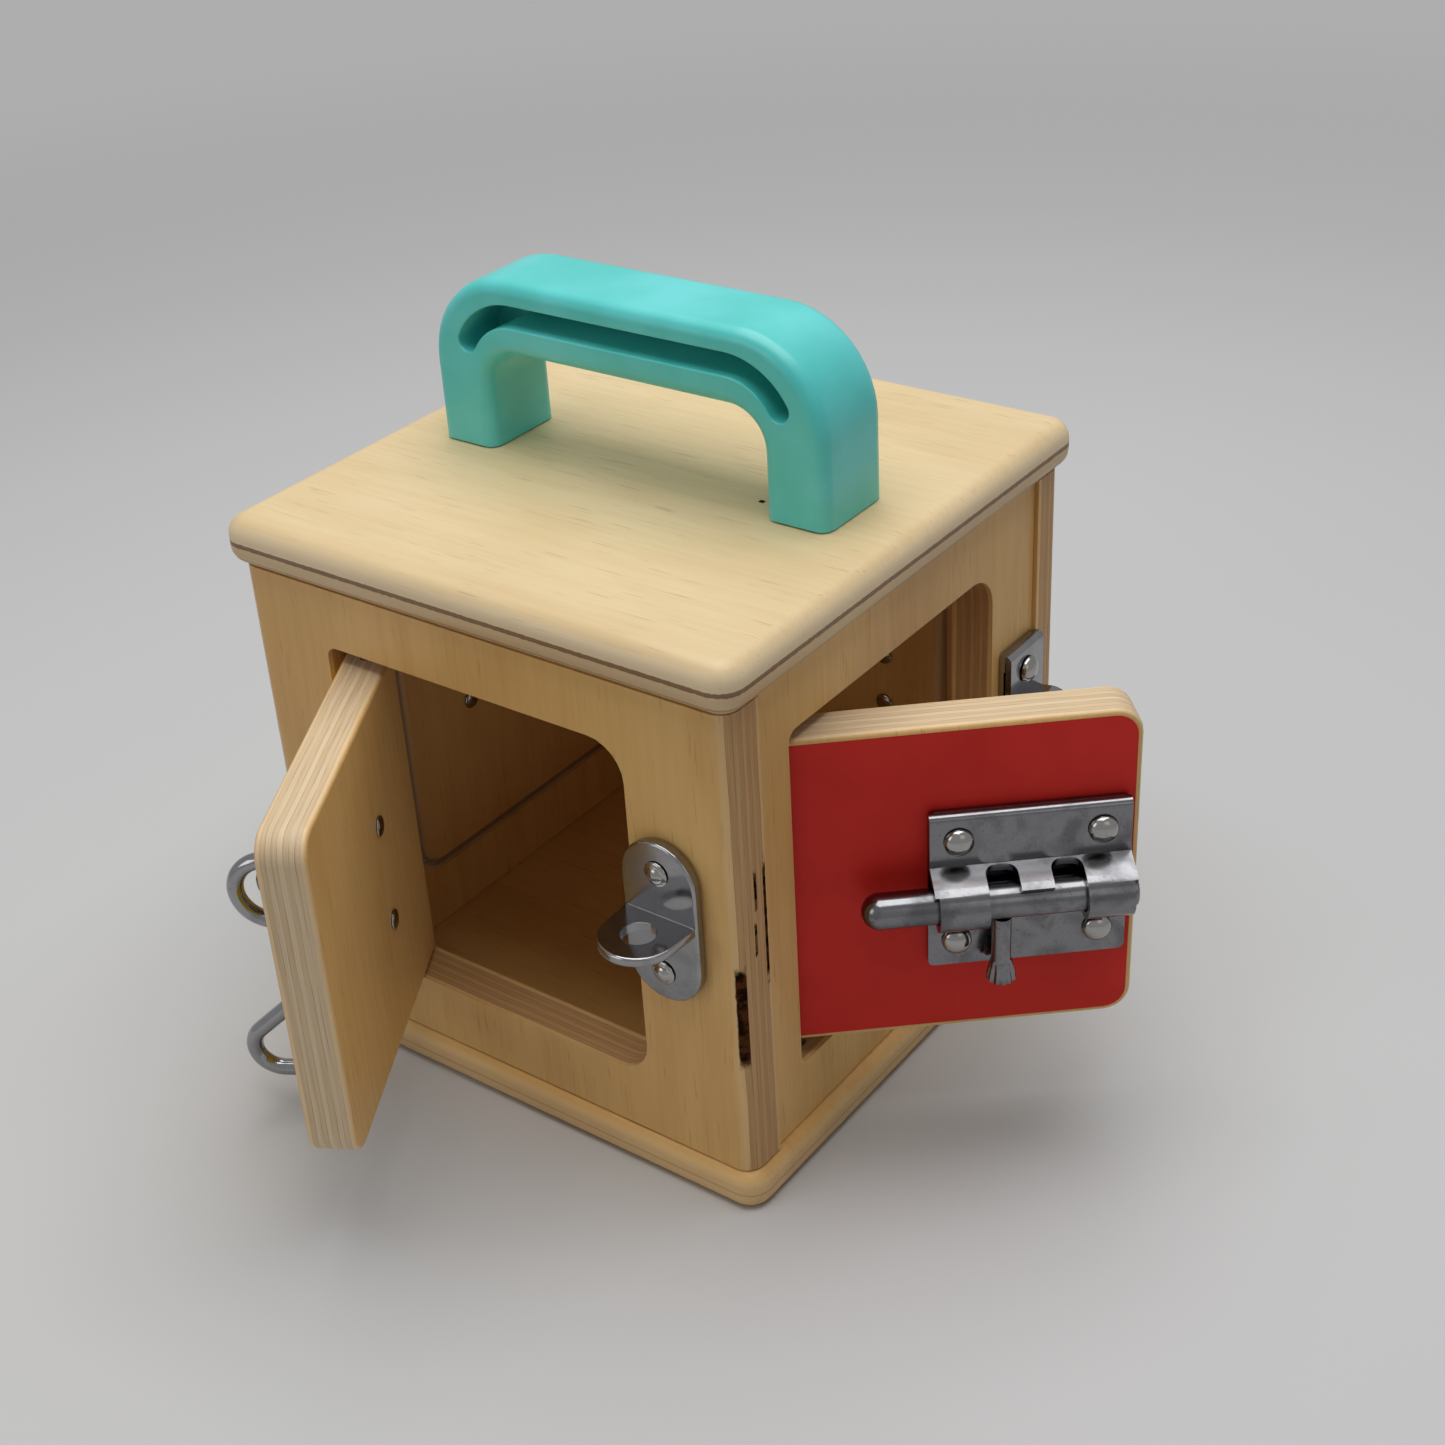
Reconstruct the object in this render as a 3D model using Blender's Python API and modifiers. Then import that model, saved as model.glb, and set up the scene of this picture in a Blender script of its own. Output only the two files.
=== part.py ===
"""Wooden latch box: a plywood cube with four doors, a carry handle and four kinds of latch.

Metres, +Z up. The origin is the centre of the base board's underside. The front wall faces -Y.
Each wall is modelled as the front one, under an empty that is turned about Z to its side:
there x runs to the right seen from outside, -y points outwards, and z is the height.
"""
import math

import bmesh
import bpy
from mathutils import Matrix, Vector

# Running gaps and modelling values
GAP = 0.0003
OVERRUN = 0.002
CORNER_STEPS = 6
EASE_STEPS = 3
ROUND_STEPS = 24
PIN_STEPS = 16
MERGE_DISTANCE = 0.000002

# Box body
BODY_SIZE = 0.144
WALL_THICK = 0.0116
WALL_TOP = 0.1356
BASE_THICK = 0.0101
BASE_OVERHANG = 0.0023
BASE_EDGE_RADIUS = 0.0036
LID_THICK = 0.0123
LID_OVERHANG = 0.00275
LID_EDGE_RADIUS = 0.0048
BOARD_CORNER_RADIUS = 0.006
WALL_CORNER_RADIUS = 0.0048
SIDE_RECESS = 0.001

# Door openings
STILES = 0.0552
OPENING_BOTTOM = 0.0272
OPENING_TOP = 0.1196
OPENING_CORNER_RADIUS = 0.0095
OPENING_HINGE_RADIUS = 0.003
FRONT_OPENING_SHIFT = -0.0016
SIDE_OPENING_SHIFT = -0.0045

# Doors
DOOR_THICK = 0.0116
HINGE_GAP = 0.0011
DOOR_FREE_GAP = 0.0027
DOOR_TOP_GAP = 0.0038
FRONT_DOOR_BOTTOM_GAP = 0.0009
RIGHT_DOOR_BOTTOM_GAP = 0.005
PLAIN_DOOR_BOTTOM_GAP = 0.002
DOOR_CORNER_RADIUS = 0.0065
DOOR_HINGE_CORNER_RADIUS = 0.0036
DOOR_HINGE_ROUNDING = 0.0045
DOOR_EDGE_EASE = 0.0012
FACE_THICK = 0.0006
FACE_INSET = 0.0016
FACE_HINGE_INSET = 0.0038
FACE_CORNER_RADIUS = 0.005
FACE_HINGE_CORNER_RADIUS = 0.002
FRONT_OPEN_ANGLE = math.radians(60.2)
RIGHT_OPEN_ANGLE = math.radians(49.0)

# Hinge pins
PIN_RADIUS = 0.0015
PIN_IN_DOOR = 0.012
PIN_CHAMFER = 0.0003

# Carry handle
HANDLE_LENGTH = 0.1156
HANDLE_DEPTH = 0.0246
HANDLE_HEIGHT = 0.0444
HANDLE_UNDERSIDE = 0.0257
HANDLE_LEG = 0.0172
HANDLE_SHOULDER_RADIUS = 0.024
HANDLE_INNER_RADIUS = 0.0095
HANDLE_EDGE_RADIUS = 0.0035
HANDLE_SLOT_HEIGHT = 0.0056
HANDLE_SLOT_DEPTH = 0.015
HANDLE_SLOT_LEVEL = 0.0359
HANDLE_SLOT_END_INSET = 0.0098
HANDLE_SLOT_RADIUS = 0.0168
HANDLE_SLOT_SWEEP = math.radians(60)
HANDLE_SCREW_INSET = 0.0086
HANDLE_SCREW_RADIUS = 0.002
HANDLE_SCREW_BITE = 0.012
HANDLE_SCREW_HEAD_RADIUS = 0.0038
HANDLE_SCREW_HEAD = 0.0024

# Drilled-tab brackets of the cabin hook
BRACKET_WIDTH = 0.0204
BRACKET_HEIGHT = 0.0426
BRACKET_THICK = 0.0029
BRACKET_EDGE_RADIUS = 0.0007
TAB_THICK = 0.0024
TAB_RISE = 0.0021
TAB_ROOT_WIDTH = 0.0196
TAB_HOLE_REACH = 0.0108
TAB_HOLE_RADIUS = 0.0041
TAB_END_RADIUS = 0.0095
RIVET_PITCH = 0.027
RIVET_RADIUS = 0.002
RIVET_HEAD_RADIUS = 0.0031
RIVET_RING_RADIUS = 0.0023
RIVET_RING_HEIGHT = 0.0007
RIVET_HEAD = 0.0014
RIVET_TAIL_RADIUS = 0.0026
RIVET_TAIL = 0.0007
CATCH_INSET = 0.0194
CATCH_Z = 0.0782
HOOK_BRACKET_T = 0.0282
HOOK_BRACKET_Z = 0.0727

# Cabin hook wire
HOOK_WIRE_RADIUS = 0.0021
HOOK_EYE_RADIUS = 0.0088
HOOK_EYE_OUT = 0.007
HOOK_EYE_DOWN = 0.0047
HOOK_SHANK_INSET = 0.0027
HOOK_TIP_DROP = 0.055
HOOK_CROOK_RADIUS = 0.0069
HOOK_CROOK_REACH = 0.0119
HOOK_TIP_END = 0.0085
HOOK_BEND_RADIUS = 0.0045
HOOK_CROOK_LEAN = math.radians(48)

# Barrel bolt and its keeper
BOLT_PLATE_INSET = 0.0027
BOLT_PLATE_WIDTH_SHARE = 0.54118
BOLT_PLATE_HEIGHT = 0.0426
BOLT_Z = 0.073
BOLT_ABOVE_PLATE_BOTTOM = 0.0212
BOLT_PLATE_THICK = 0.0012
BOLT_PLATE_CORNER = 0.0015
BOLT_LEAF_THICK = 0.0016
LEAF_HEM_GAP = 0.0006
LEAF_HEM_TURN = 0.003
BOLT_ROD_RADIUS = 0.00425
BOLT_ROD_OUT = 0.0072
BOLT_ROD_CLEARANCE = 0.00035
BOLT_TAIL_REACH_SHARE = 0.19176
BOLT_ROD_LENGTH_SHARE = 0.73882
BOLT_ROD_CHAMFER = 0.0006
BOLT_TAIL_DOME = 0.0034
KNUCKLE_INSET = 0.0009
BOLT_NOTCH_WIDTH_SHARE = 0.08706
BOLT_NOTCH_LEFT_SHARE = 0.14353
BOLT_NOTCH_REACH = 0.0041
BOLT_TRAVEL_SHARE = 0.17529
LEAF_STEP_ANGLE = math.radians(10)
LEAF_FOLD_ANGLE = math.radians(70)
BOLT_TAB_ANGLE = math.radians(50)
KEEPER_FOLD_ANGLE = math.radians(100)
KEEPER_SHELF_ANGLE = math.radians(60)
BOLT_KNOB_RADIUS = 0.00225
BOLT_KNOB_LENGTH = 0.0221
BOLT_KNOB_FLARE_RADIUS = 0.0035
BOLT_KNOB_FLARE = 0.006
BOLT_SCREW_HEAD_RADIUS = 0.0035
BOLT_SCREW_HEAD = 0.0022
BOLT_SCREW_RADIUS = 0.0014
BOLT_SCREW_BITE = 0.008
BOLT_SCREW_SIDE_INSET = 0.0066
BOLT_SCREW_END_INSET = 0.0069
KEEPER_INSET = 0.0288
KEEPER_WIDTH = 0.0167
KEEPER_KNUCKLE_WIDTH = 0.0125

# Swing bar latch of the left door
BAR_PIVOT_INSET = 0.0244
BAR_PIVOT_Z = 0.071
BAR_WIDTH = 0.009
BAR_THICK = 0.002
BAR_LENGTH = 0.036
BAR_HOLE_RADIUS = 0.0024
BAR_WASHER_RADIUS = 0.0045
BAR_WASHER_THICK = 0.0014
BAR_PIVOT_HEAD_RADIUS = 0.004
BAR_PIVOT_HEAD = 0.0022
BAR_KEEPER_INSET = 0.0285
BAR_KEEPER_WIDTH = 0.012
BAR_KEEPER_HEIGHT = 0.038
BAR_KEEPER_ABOVE_PIVOT = 0.007
BAR_KEEPER_THICK = 0.0012
BAR_KEEPER_LIP = 0.0066
BAR_KEEPER_BEND = 0.0006
BAR_KEEPER_SCREW_INSET = 0.0065
BAR_KEEPER_SCREW_PITCH = 0.0125
SMALL_SCREW_HEAD_RADIUS = 0.003
SMALL_SCREW_HEAD = 0.0018
SMALL_SCREW_RADIUS = 0.0013
SMALL_SCREW_BITE = 0.008

# Hasp and turning staple of the back door
HASP_Z = 0.066
HASP_LEAF_LEFT = 0.0073
HASP_PIN_INSET = 0.0292
HASP_LEAF_HEIGHT = 0.026
HASP_THICK = 0.0014
HASP_CORNER_RADIUS = 0.003
HASP_BARREL_RADIUS = 0.0026
HASP_PIN_RADIUS = 0.0012
HASP_PIN_CLEARANCE = 0.0001
HASP_KNUCKLE_GAP = 0.0003
HASP_RIVET_T = 0.0128
HASP_RIVET_PITCH = 0.0148
HASP_STRAP_HEIGHT = 0.019
HASP_STRAP_END = 0.0075
HASP_END_RADIUS = 0.007
HASP_SLOT_WIDTH = 0.0056
HASP_SLOT_HEIGHT = 0.0136
HASP_OPEN_ANGLE = math.radians(90)
STAPLE_INSET = 0.0198
STAPLE_PLATE_WIDTH = 0.013
STAPLE_PLATE_HEIGHT = 0.036
STAPLE_PLATE_THICK = 0.0012
STAPLE_PLATE_CORNER = 0.002
STAPLE_SCREW_PITCH = 0.027
STAPLE_NECK_RADIUS = 0.0019
STAPLE_HEAD_WIDTH = 0.004
STAPLE_HEAD_HEIGHT = 0.0118
STAPLE_HEAD_THICK = 0.0034
STAPLE_FOOT_RADIUS = 0.0024
STAPLE_FOOT = 0.0009

# Colours, roughness and metallic value of the finishes
FINISHES = {
    "birch": ((0.78, 0.60, 0.36), 0.5, 0.0),
    "teal_plastic": ((0.09, 0.62, 0.56), 0.35, 0.0),
    "red_sheet": ((0.62, 0.03, 0.02), 0.3, 0.0),
    "yellow_sheet": ((0.85, 0.55, 0.04), 0.3, 0.0),
    "blue_sheet": ((0.03, 0.18, 0.55), 0.3, 0.0),
    "green_sheet": ((0.08, 0.42, 0.12), 0.3, 0.0),
    "chrome": ((0.62, 0.62, 0.63), 0.15, 1.0),
    "steel": ((0.45, 0.45, 0.46), 0.35, 1.0),
}

# Places worked out from the sizes above
HALF_BODY = BODY_SIZE / 2
LID_TOP = WALL_TOP + LID_THICK
WALL_LOW = BASE_THICK + GAP
WALL_HIGH = WALL_TOP - GAP
HINGE_SETBACK = DOOR_THICK / 2
DOOR_FACE = DOOR_THICK / 2
OPENING_WIDTH = BODY_SIZE - STILES
DOOR_WIDTH = OPENING_WIDTH - HINGE_GAP - DOOR_FREE_GAP
DOOR_FREE_EDGE = DOOR_WIDTH - HINGE_SETBACK
BOLT_PLATE_WIDTH = DOOR_WIDTH * BOLT_PLATE_WIDTH_SHARE
BOLT_TAIL_REACH = DOOR_WIDTH * BOLT_TAIL_REACH_SHARE
BOLT_ROD_LENGTH = DOOR_WIDTH * BOLT_ROD_LENGTH_SHARE
BOLT_NOTCH_WIDTH = DOOR_WIDTH * BOLT_NOTCH_WIDTH_SHARE
BOLT_NOTCH_LEFT = DOOR_WIDTH * BOLT_NOTCH_LEFT_SHARE
BOLT_TRAVEL = DOOR_WIDTH * BOLT_TRAVEL_SHARE
HANDLE_SCREW_SPACING = HANDLE_LENGTH - 2 * HANDLE_SCREW_INSET
HANDLE_SCREW_SEAT = WALL_TOP + HANDLE_SCREW_HEAD + GAP
CATCH_X = HALF_BODY - CATCH_INSET
BOLT_PLATE_LEFT = DOOR_FREE_EDGE - BOLT_PLATE_INSET - BOLT_PLATE_WIDTH
BOLT_ROD_TAIL = BOLT_PLATE_LEFT - BOLT_TAIL_REACH
KEEPER_LEFT = HALF_BODY - KEEPER_INSET
BAR_PIVOT_T = DOOR_FREE_EDGE - BAR_PIVOT_INSET
BAR_KEEPER_LEFT = HALF_BODY - BAR_KEEPER_INSET
HASP_PIN_T = DOOR_FREE_EDGE - HASP_PIN_INSET
STAPLE_X = HALF_BODY - STAPLE_INSET
DOOR_TOP = OPENING_TOP - DOOR_TOP_GAP
HOOK_EYE_HEIGHT = HOOK_BRACKET_Z - TAB_RISE + TAB_THICK / 2
BOLT_PLATE_BOTTOM = BOLT_Z - BOLT_ABOVE_PLATE_BOTTOM
KNUCKLE_MIDDLE_RADIUS = BOLT_ROD_RADIUS + BOLT_ROD_CLEARANCE + BOLT_LEAF_THICK / 2
BOLT_KNOB_T = BOLT_PLATE_LEFT + BOLT_NOTCH_LEFT + BOLT_NOTCH_WIDTH / 2

SIDES = (
    {"name": "front", "turn": 0, "shift": FRONT_OPENING_SHIFT, "face": HALF_BODY,
     "bottom_gap": FRONT_DOOR_BOTTOM_GAP, "open": FRONT_OPEN_ANGLE, "sheet": "yellow_sheet"},
    {"name": "right", "turn": 1, "shift": SIDE_OPENING_SHIFT, "face": HALF_BODY - SIDE_RECESS,
     "bottom_gap": RIGHT_DOOR_BOTTOM_GAP, "open": RIGHT_OPEN_ANGLE, "sheet": "red_sheet"},
    {"name": "back", "turn": 2, "shift": FRONT_OPENING_SHIFT, "face": HALF_BODY,
     "bottom_gap": PLAIN_DOOR_BOTTOM_GAP, "open": 0, "sheet": "blue_sheet"},
    {"name": "left", "turn": 3, "shift": SIDE_OPENING_SHIFT, "face": HALF_BODY - SIDE_RECESS,
     "bottom_gap": PLAIN_DOOR_BOTTOM_GAP, "open": 0, "sheet": "green_sheet"},
)

# Rotation that turns a mesh's own +Z to the outside of a wall, to the right or downwards
OUTWARDS = (math.pi / 2, 0, 0)
RIGHTWARDS = (0, math.pi / 2, 0)
DOWNWARDS = (math.pi, 0, 0)


def clear_scene():
    for item in list(bpy.data.objects):
        bpy.data.objects.remove(item, do_unlink=True)


def collection(name):
    made = bpy.data.collections.new(name)
    bpy.context.scene.collection.children.link(made)
    return made


def finish(name):
    """The Principled material of one finish, made once."""
    found = bpy.data.materials.get(name)
    if found:
        return found
    colour, roughness, metallic = FINISHES[name]
    made = bpy.data.materials.new(name)
    made.use_nodes = True
    shader = made.node_tree.nodes["Principled BSDF"]
    shader.inputs["Base Color"].default_value = (*colour, 1)
    shader.inputs["Roughness"].default_value = roughness
    shader.inputs["Metallic"].default_value = metallic
    made.diffuse_color = (*colour, 1)
    return made


def empty(name, parent=None, location=(0, 0, 0), rotation=(0, 0, 0)):
    made = bpy.data.objects.new(name, None)
    PARTS.objects.link(made)
    made.parent = parent
    made.location = location
    made.rotation_euler = rotation
    return made


def piece(name, mesh, parent, finish_name, location=(0, 0, 0), rotation=(0, 0, 0)):
    """One sub-part: an object with its own copy of the finish."""
    made = bpy.data.objects.new(name, mesh)
    PARTS.objects.link(made)
    made.parent = parent
    made.location = location
    made.rotation_euler = rotation
    mesh.materials.append(finish(finish_name))
    return made


def guide(name, mesh, parent, location=(0, 0, 0), rotation=(0, 0, 0)):
    """A cutter or other helper that isn't part of the box."""
    made = bpy.data.objects.new(name, mesh)
    CUTTERS.objects.link(made)
    made.parent = parent
    made.location = location
    made.rotation_euler = rotation
    made.hide_render = True
    made.display_type = "WIRE"
    return made


def combine(target, helper, operation):
    step = target.modifiers.new(operation.lower(), "BOOLEAN")
    step.operation = operation
    step.solver = "EXACT"
    step.object = helper


def cut(target, helper):
    combine(target, helper, "DIFFERENCE")


def join(target, helper):
    combine(target, helper, "UNION")


def mesh_from(bm, name):
    bmesh.ops.recalc_face_normals(bm, faces=bm.faces)
    made = bpy.data.meshes.new(name)
    bm.to_mesh(made)
    bm.free()
    return made


def smooth(mesh):
    mesh.shade_smooth()
    mesh.set_sharp_from_angle(angle=math.radians(35))
    return mesh


def box_cage(low, high):
    """A cube between two corners, as a bmesh."""
    bm = bmesh.new()
    bmesh.ops.create_cube(bm, size=1)
    low, high = Vector(low), Vector(high)
    bmesh.ops.scale(bm, vec=high - low, verts=bm.verts)
    bmesh.ops.translate(bm, vec=(high + low) / 2, verts=bm.verts)
    return bm


def round_edges(bm, edges, radius, steps):
    bmesh.ops.bevel(bm, geom=edges, offset=radius, offset_type="OFFSET", segments=steps,
                    profile=0.5, affect="EDGES", clamp_overlap=True)


def upright_edges(bm):
    return [edge for edge in bm.edges
            if abs(edge.verts[0].co.z - edge.verts[1].co.z) > edge.calc_length() / 2]


def sharp_edges(bm):
    return [edge for edge in bm.edges if edge.calc_face_angle(0) > math.radians(60)]


def board_mesh(name, half_size, low, high, edge_radius):
    """A square board with rounded corners in plan and rounded edges all round."""
    bm = box_cage((-half_size, -half_size, low), (half_size, half_size, high))
    round_edges(bm, upright_edges(bm), BOARD_CORNER_RADIUS, CORNER_STEPS)
    round_edges(bm, sharp_edges(bm), edge_radius, CORNER_STEPS)
    return smooth(mesh_from(bm, name))


def cylinder_mesh(name, radius, low, high, steps=ROUND_STEPS):
    """A cylinder along Z."""
    bm = bmesh.new()
    bmesh.ops.create_cone(bm, cap_ends=True, segments=steps, radius1=radius, radius2=radius,
                          depth=high - low)
    bmesh.ops.translate(bm, vec=(0, 0, (high + low) / 2), verts=bm.verts)
    return mesh_from(bm, name)


def fillet(before, corner, after, radius, steps):
    """The arc of points that rounds one corner of an outline."""
    corner = Vector(corner)
    if not radius:
        return [corner]
    back = (Vector(before) - corner).normalized()
    ahead = (Vector(after) - corner).normalized()
    half_angle = back.angle(ahead) / 2
    centre = corner + (back + ahead).normalized() * radius / math.sin(half_angle)
    start = corner + back * radius / math.tan(half_angle) - centre
    sweep = math.pi - 2 * half_angle
    if back.x * ahead.y - back.y * ahead.x > 0:
        sweep = -sweep
    points = []
    for step in range(steps + 1):
        turn = Matrix.Rotation(sweep * step / steps, 2)
        points.append(centre + turn @ start)
    return points


def without_doubles(points):
    kept = []
    for point in points:
        if not kept or (point - kept[-1]).length > MERGE_DISTANCE:
            kept.append(point)
    return kept


def closed_outline(corners, radii, steps=CORNER_STEPS):
    """A closed outline whose corners are rounded by their own radii."""
    points = []
    count = len(corners)
    for index, corner in enumerate(corners):
        after = corners[(index + 1) % count]
        points += fillet(corners[index - 1], corner, after, radii[index], steps)
    points = without_doubles(points)
    if (points[0] - points[-1]).length <= MERGE_DISTANCE:
        points.pop()
    return points


def open_path(corners, radii, steps=CORNER_STEPS):
    """An open path with rounded corners."""
    points = [Vector(corners[0])]
    for index in range(1, len(corners) - 1):
        points += fillet(corners[index - 1], corners[index], corners[index + 1],
                         radii[index - 1], steps)
    points.append(Vector(corners[-1]))
    return without_doubles(points)


def rectangle(left, right, low, high):
    return [(left, low), (right, low), (right, high), (left, high)]


def band(path, half_width, round_ends=False):
    """The outline of a band that follows a path, with flat or round ends."""
    left_side, right_side = [], []
    count = len(path)
    for index, point in enumerate(path):
        before = path[max(index - 1, 0)]
        after = path[min(index + 1, count - 1)]
        incoming = (point - before).normalized() if index else (after - point).normalized()
        outgoing = (after - point).normalized() if index < count - 1 else incoming
        along = (incoming + outgoing).normalized()
        across = Vector((-along.y, along.x)) * half_width / along.dot(incoming)
        left_side.append(point + across)
        right_side.append(point - across)
    outline = list(left_side)
    if round_ends:
        outline += end_cap(path[-1], left_side[-1], CORNER_STEPS)
    outline += reversed(right_side)
    if round_ends:
        outline += end_cap(path[0], right_side[0], CORNER_STEPS)
    return outline


def end_cap(centre, start, steps):
    """Points of a half circle that goes clockwise from start round centre, ends left out."""
    points = []
    for step in range(1, 2 * steps):
        turn = Matrix.Rotation(-math.pi * step / (2 * steps), 2)
        points.append(centre + turn @ (start - centre))
    return points


def arc(centre, radius, first, last, steps):
    """Points of a circular arc between two angles."""
    points = []
    for step in range(steps + 1):
        angle = first + (last - first) * step / steps
        points.append(Vector(centre) + radius * Vector((math.cos(angle), math.sin(angle))))
    return points


def flat_solid(name, outlines, low, high):
    """A flat 2D curve thickened along Z from low to high, as a mesh."""
    data = bpy.data.curves.new(name, "CURVE")
    data.dimensions = "2D"
    data.fill_mode = "BOTH"
    data.extrude = (high - low) / 2
    for outline in outlines:
        spline = data.splines.new("POLY")
        spline.points.add(len(outline) - 1)
        for point, place in zip(spline.points, outline):
            point.co = (place.x, place.y, 0, 1)
        spline.use_cyclic_u = True
    mesh = curve_mesh(data, name)
    mesh.transform(Matrix.Translation((0, 0, (high + low) / 2)))
    return mesh


def curve_mesh(data, name):
    """The evaluated mesh of a curve, with its loose caps welded."""
    holder = bpy.data.objects.new(name, data)
    CUTTERS.objects.link(holder)
    bpy.context.view_layer.update()
    evaluated = holder.evaluated_get(bpy.context.evaluated_depsgraph_get())
    mesh = bpy.data.meshes.new_from_object(evaluated)
    bpy.data.objects.remove(holder, do_unlink=True)
    bpy.data.curves.remove(data)
    bm = bmesh.new()
    bm.from_mesh(mesh)
    bmesh.ops.remove_doubles(bm, verts=bm.verts, dist=MERGE_DISTANCE)
    bmesh.ops.recalc_face_normals(bm, faces=bm.faces)
    bm.to_mesh(mesh)
    bm.free()
    mesh.materials.clear()
    return mesh


def wall_solid(name, outlines, inner, outer):
    """A flat solid drawn in x and z, between two distances from the wall's plane outwards."""
    mesh = flat_solid(name, outlines, inner, outer)
    mesh.transform(Matrix.Rotation(math.pi / 2, 4, "X"))
    return mesh


def profile_solid(name, outline, left, right):
    """A solid drawn by its section, outward distance and height, that runs along x."""
    mesh = flat_solid(name, [outline], left, right)
    outward, height, along = Vector((0, -1, 0)), Vector((0, 0, 1)), Vector((1, 0, 0))
    frame = Matrix((outward, height, along)).transposed()
    mesh.transform(frame.to_4x4())
    if frame.determinant() < 0:
        mesh.flip_normals()
    return mesh


def turned(name, profile, parent, finish_name, location=(0, 0, 0), rotation=(0, 0, 0),
           steps=ROUND_STEPS):
    """A turned piece: its profile, radius and height from top to bottom, swept round Z."""
    mesh = bpy.data.meshes.new(name)
    points = [(radius, 0, height) for radius, height in profile]
    lines = [(index, index + 1) for index in range(len(points) - 1)]
    mesh.from_pydata(points, lines, [])
    made = piece(name, mesh, parent, finish_name, location, rotation)
    sweep = made.modifiers.new("turn", "SCREW")
    sweep.axis = "Z"
    sweep.angle = 2 * math.pi
    sweep.steps = steps
    sweep.render_steps = steps
    sweep.use_merge_vertices = True
    sweep.merge_threshold = MERGE_DISTANCE
    sweep.use_smooth_shade = True
    return made


def dome(radius, rise, base, steps=CORNER_STEPS):
    """Profile points of a domed top, from the axis down to its rim at the height base."""
    sphere = (radius * radius + rise * rise) / (2 * rise)
    widest = math.asin(min(1, radius / sphere))
    if rise > radius:
        widest = math.pi - widest
    points = []
    for step in range(steps + 1):
        angle = widest * step / steps
        points.append((sphere * math.sin(angle), base + rise - sphere + sphere * math.cos(angle)))
    points[0] = (0, base + rise)
    return points


def screw(name, parent, finish_name, place, head_radius, head, shank_radius, bite):
    """A domed wood screw whose head stands on the height 0 of place, driven inwards."""
    profile = dome(head_radius, head, 0)
    profile += [(shank_radius, 0), (shank_radius, -bite + shank_radius), (0, -bite)]
    return turned(name, profile, parent, finish_name, place, OUTWARDS, PIN_STEPS)


def drill(target, name, parent, place, rotation, radius, low, high, steps=PIN_STEPS):
    """A round hole along the turned Z of a place."""
    cut(target, guide(name, cylinder_mesh(name, radius, low, high, steps), parent, place, rotation))


def add_base_and_lid():
    base = board_mesh("base_board", HALF_BODY + BASE_OVERHANG, 0, BASE_THICK, BASE_EDGE_RADIUS)
    piece("base_board", base, None, "birch")
    lid_mesh = board_mesh("lid_board", HALF_BODY + LID_OVERHANG, WALL_TOP, LID_TOP,
                          LID_EDGE_RADIUS)
    lid = piece("lid_board", lid_mesh, None, "birch")
    for side, name in ((-1, "left"), (1, "right")):
        place = (side * HANDLE_SCREW_SPACING / 2, 0, 0)
        drill(lid, f"lid_screw_hole_{name}", None, place, (0, 0, 0), HANDLE_SCREW_RADIUS + GAP,
              WALL_TOP - OVERRUN, LID_TOP + OVERRUN)
        drill(lid, f"lid_screw_sink_{name}", None, place, (0, 0, 0),
              HANDLE_SCREW_HEAD_RADIUS + GAP, WALL_TOP - OVERRUN, HANDLE_SCREW_SEAT + GAP)


def handle_outline():
    """The arch of the carry handle seen from the front, feet on the height 0."""
    end = HANDLE_LENGTH / 2
    inner = end - HANDLE_LEG
    corners = [(-end, 0), (-inner, 0), (-inner, HANDLE_UNDERSIDE), (inner, HANDLE_UNDERSIDE),
               (inner, 0), (end, 0), (end, HANDLE_HEIGHT), (-end, HANDLE_HEIGHT)]
    radii = [0, 0, HANDLE_INNER_RADIUS, HANDLE_INNER_RADIUS, 0, 0,
             HANDLE_SHOULDER_RADIUS, HANDLE_SHOULDER_RADIUS]
    return closed_outline(corners, radii, 2 * CORNER_STEPS)


def slot_outline():
    """The slot along the handle's front: it follows the middle of the arch."""
    middle = HANDLE_LENGTH / 2 - HANDLE_SLOT_END_INSET - HANDLE_SLOT_RADIUS
    height = HANDLE_SLOT_LEVEL - HANDLE_SLOT_RADIUS
    upright = math.pi / 2
    path = arc((-middle, height), HANDLE_SLOT_RADIUS, upright + HANDLE_SLOT_SWEEP, upright,
               2 * CORNER_STEPS)
    path += arc((middle, height), HANDLE_SLOT_RADIUS, upright, upright - HANDLE_SLOT_SWEEP,
                2 * CORNER_STEPS)
    return band(path, HANDLE_SLOT_HEIGHT / 2, round_ends=True)


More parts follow.
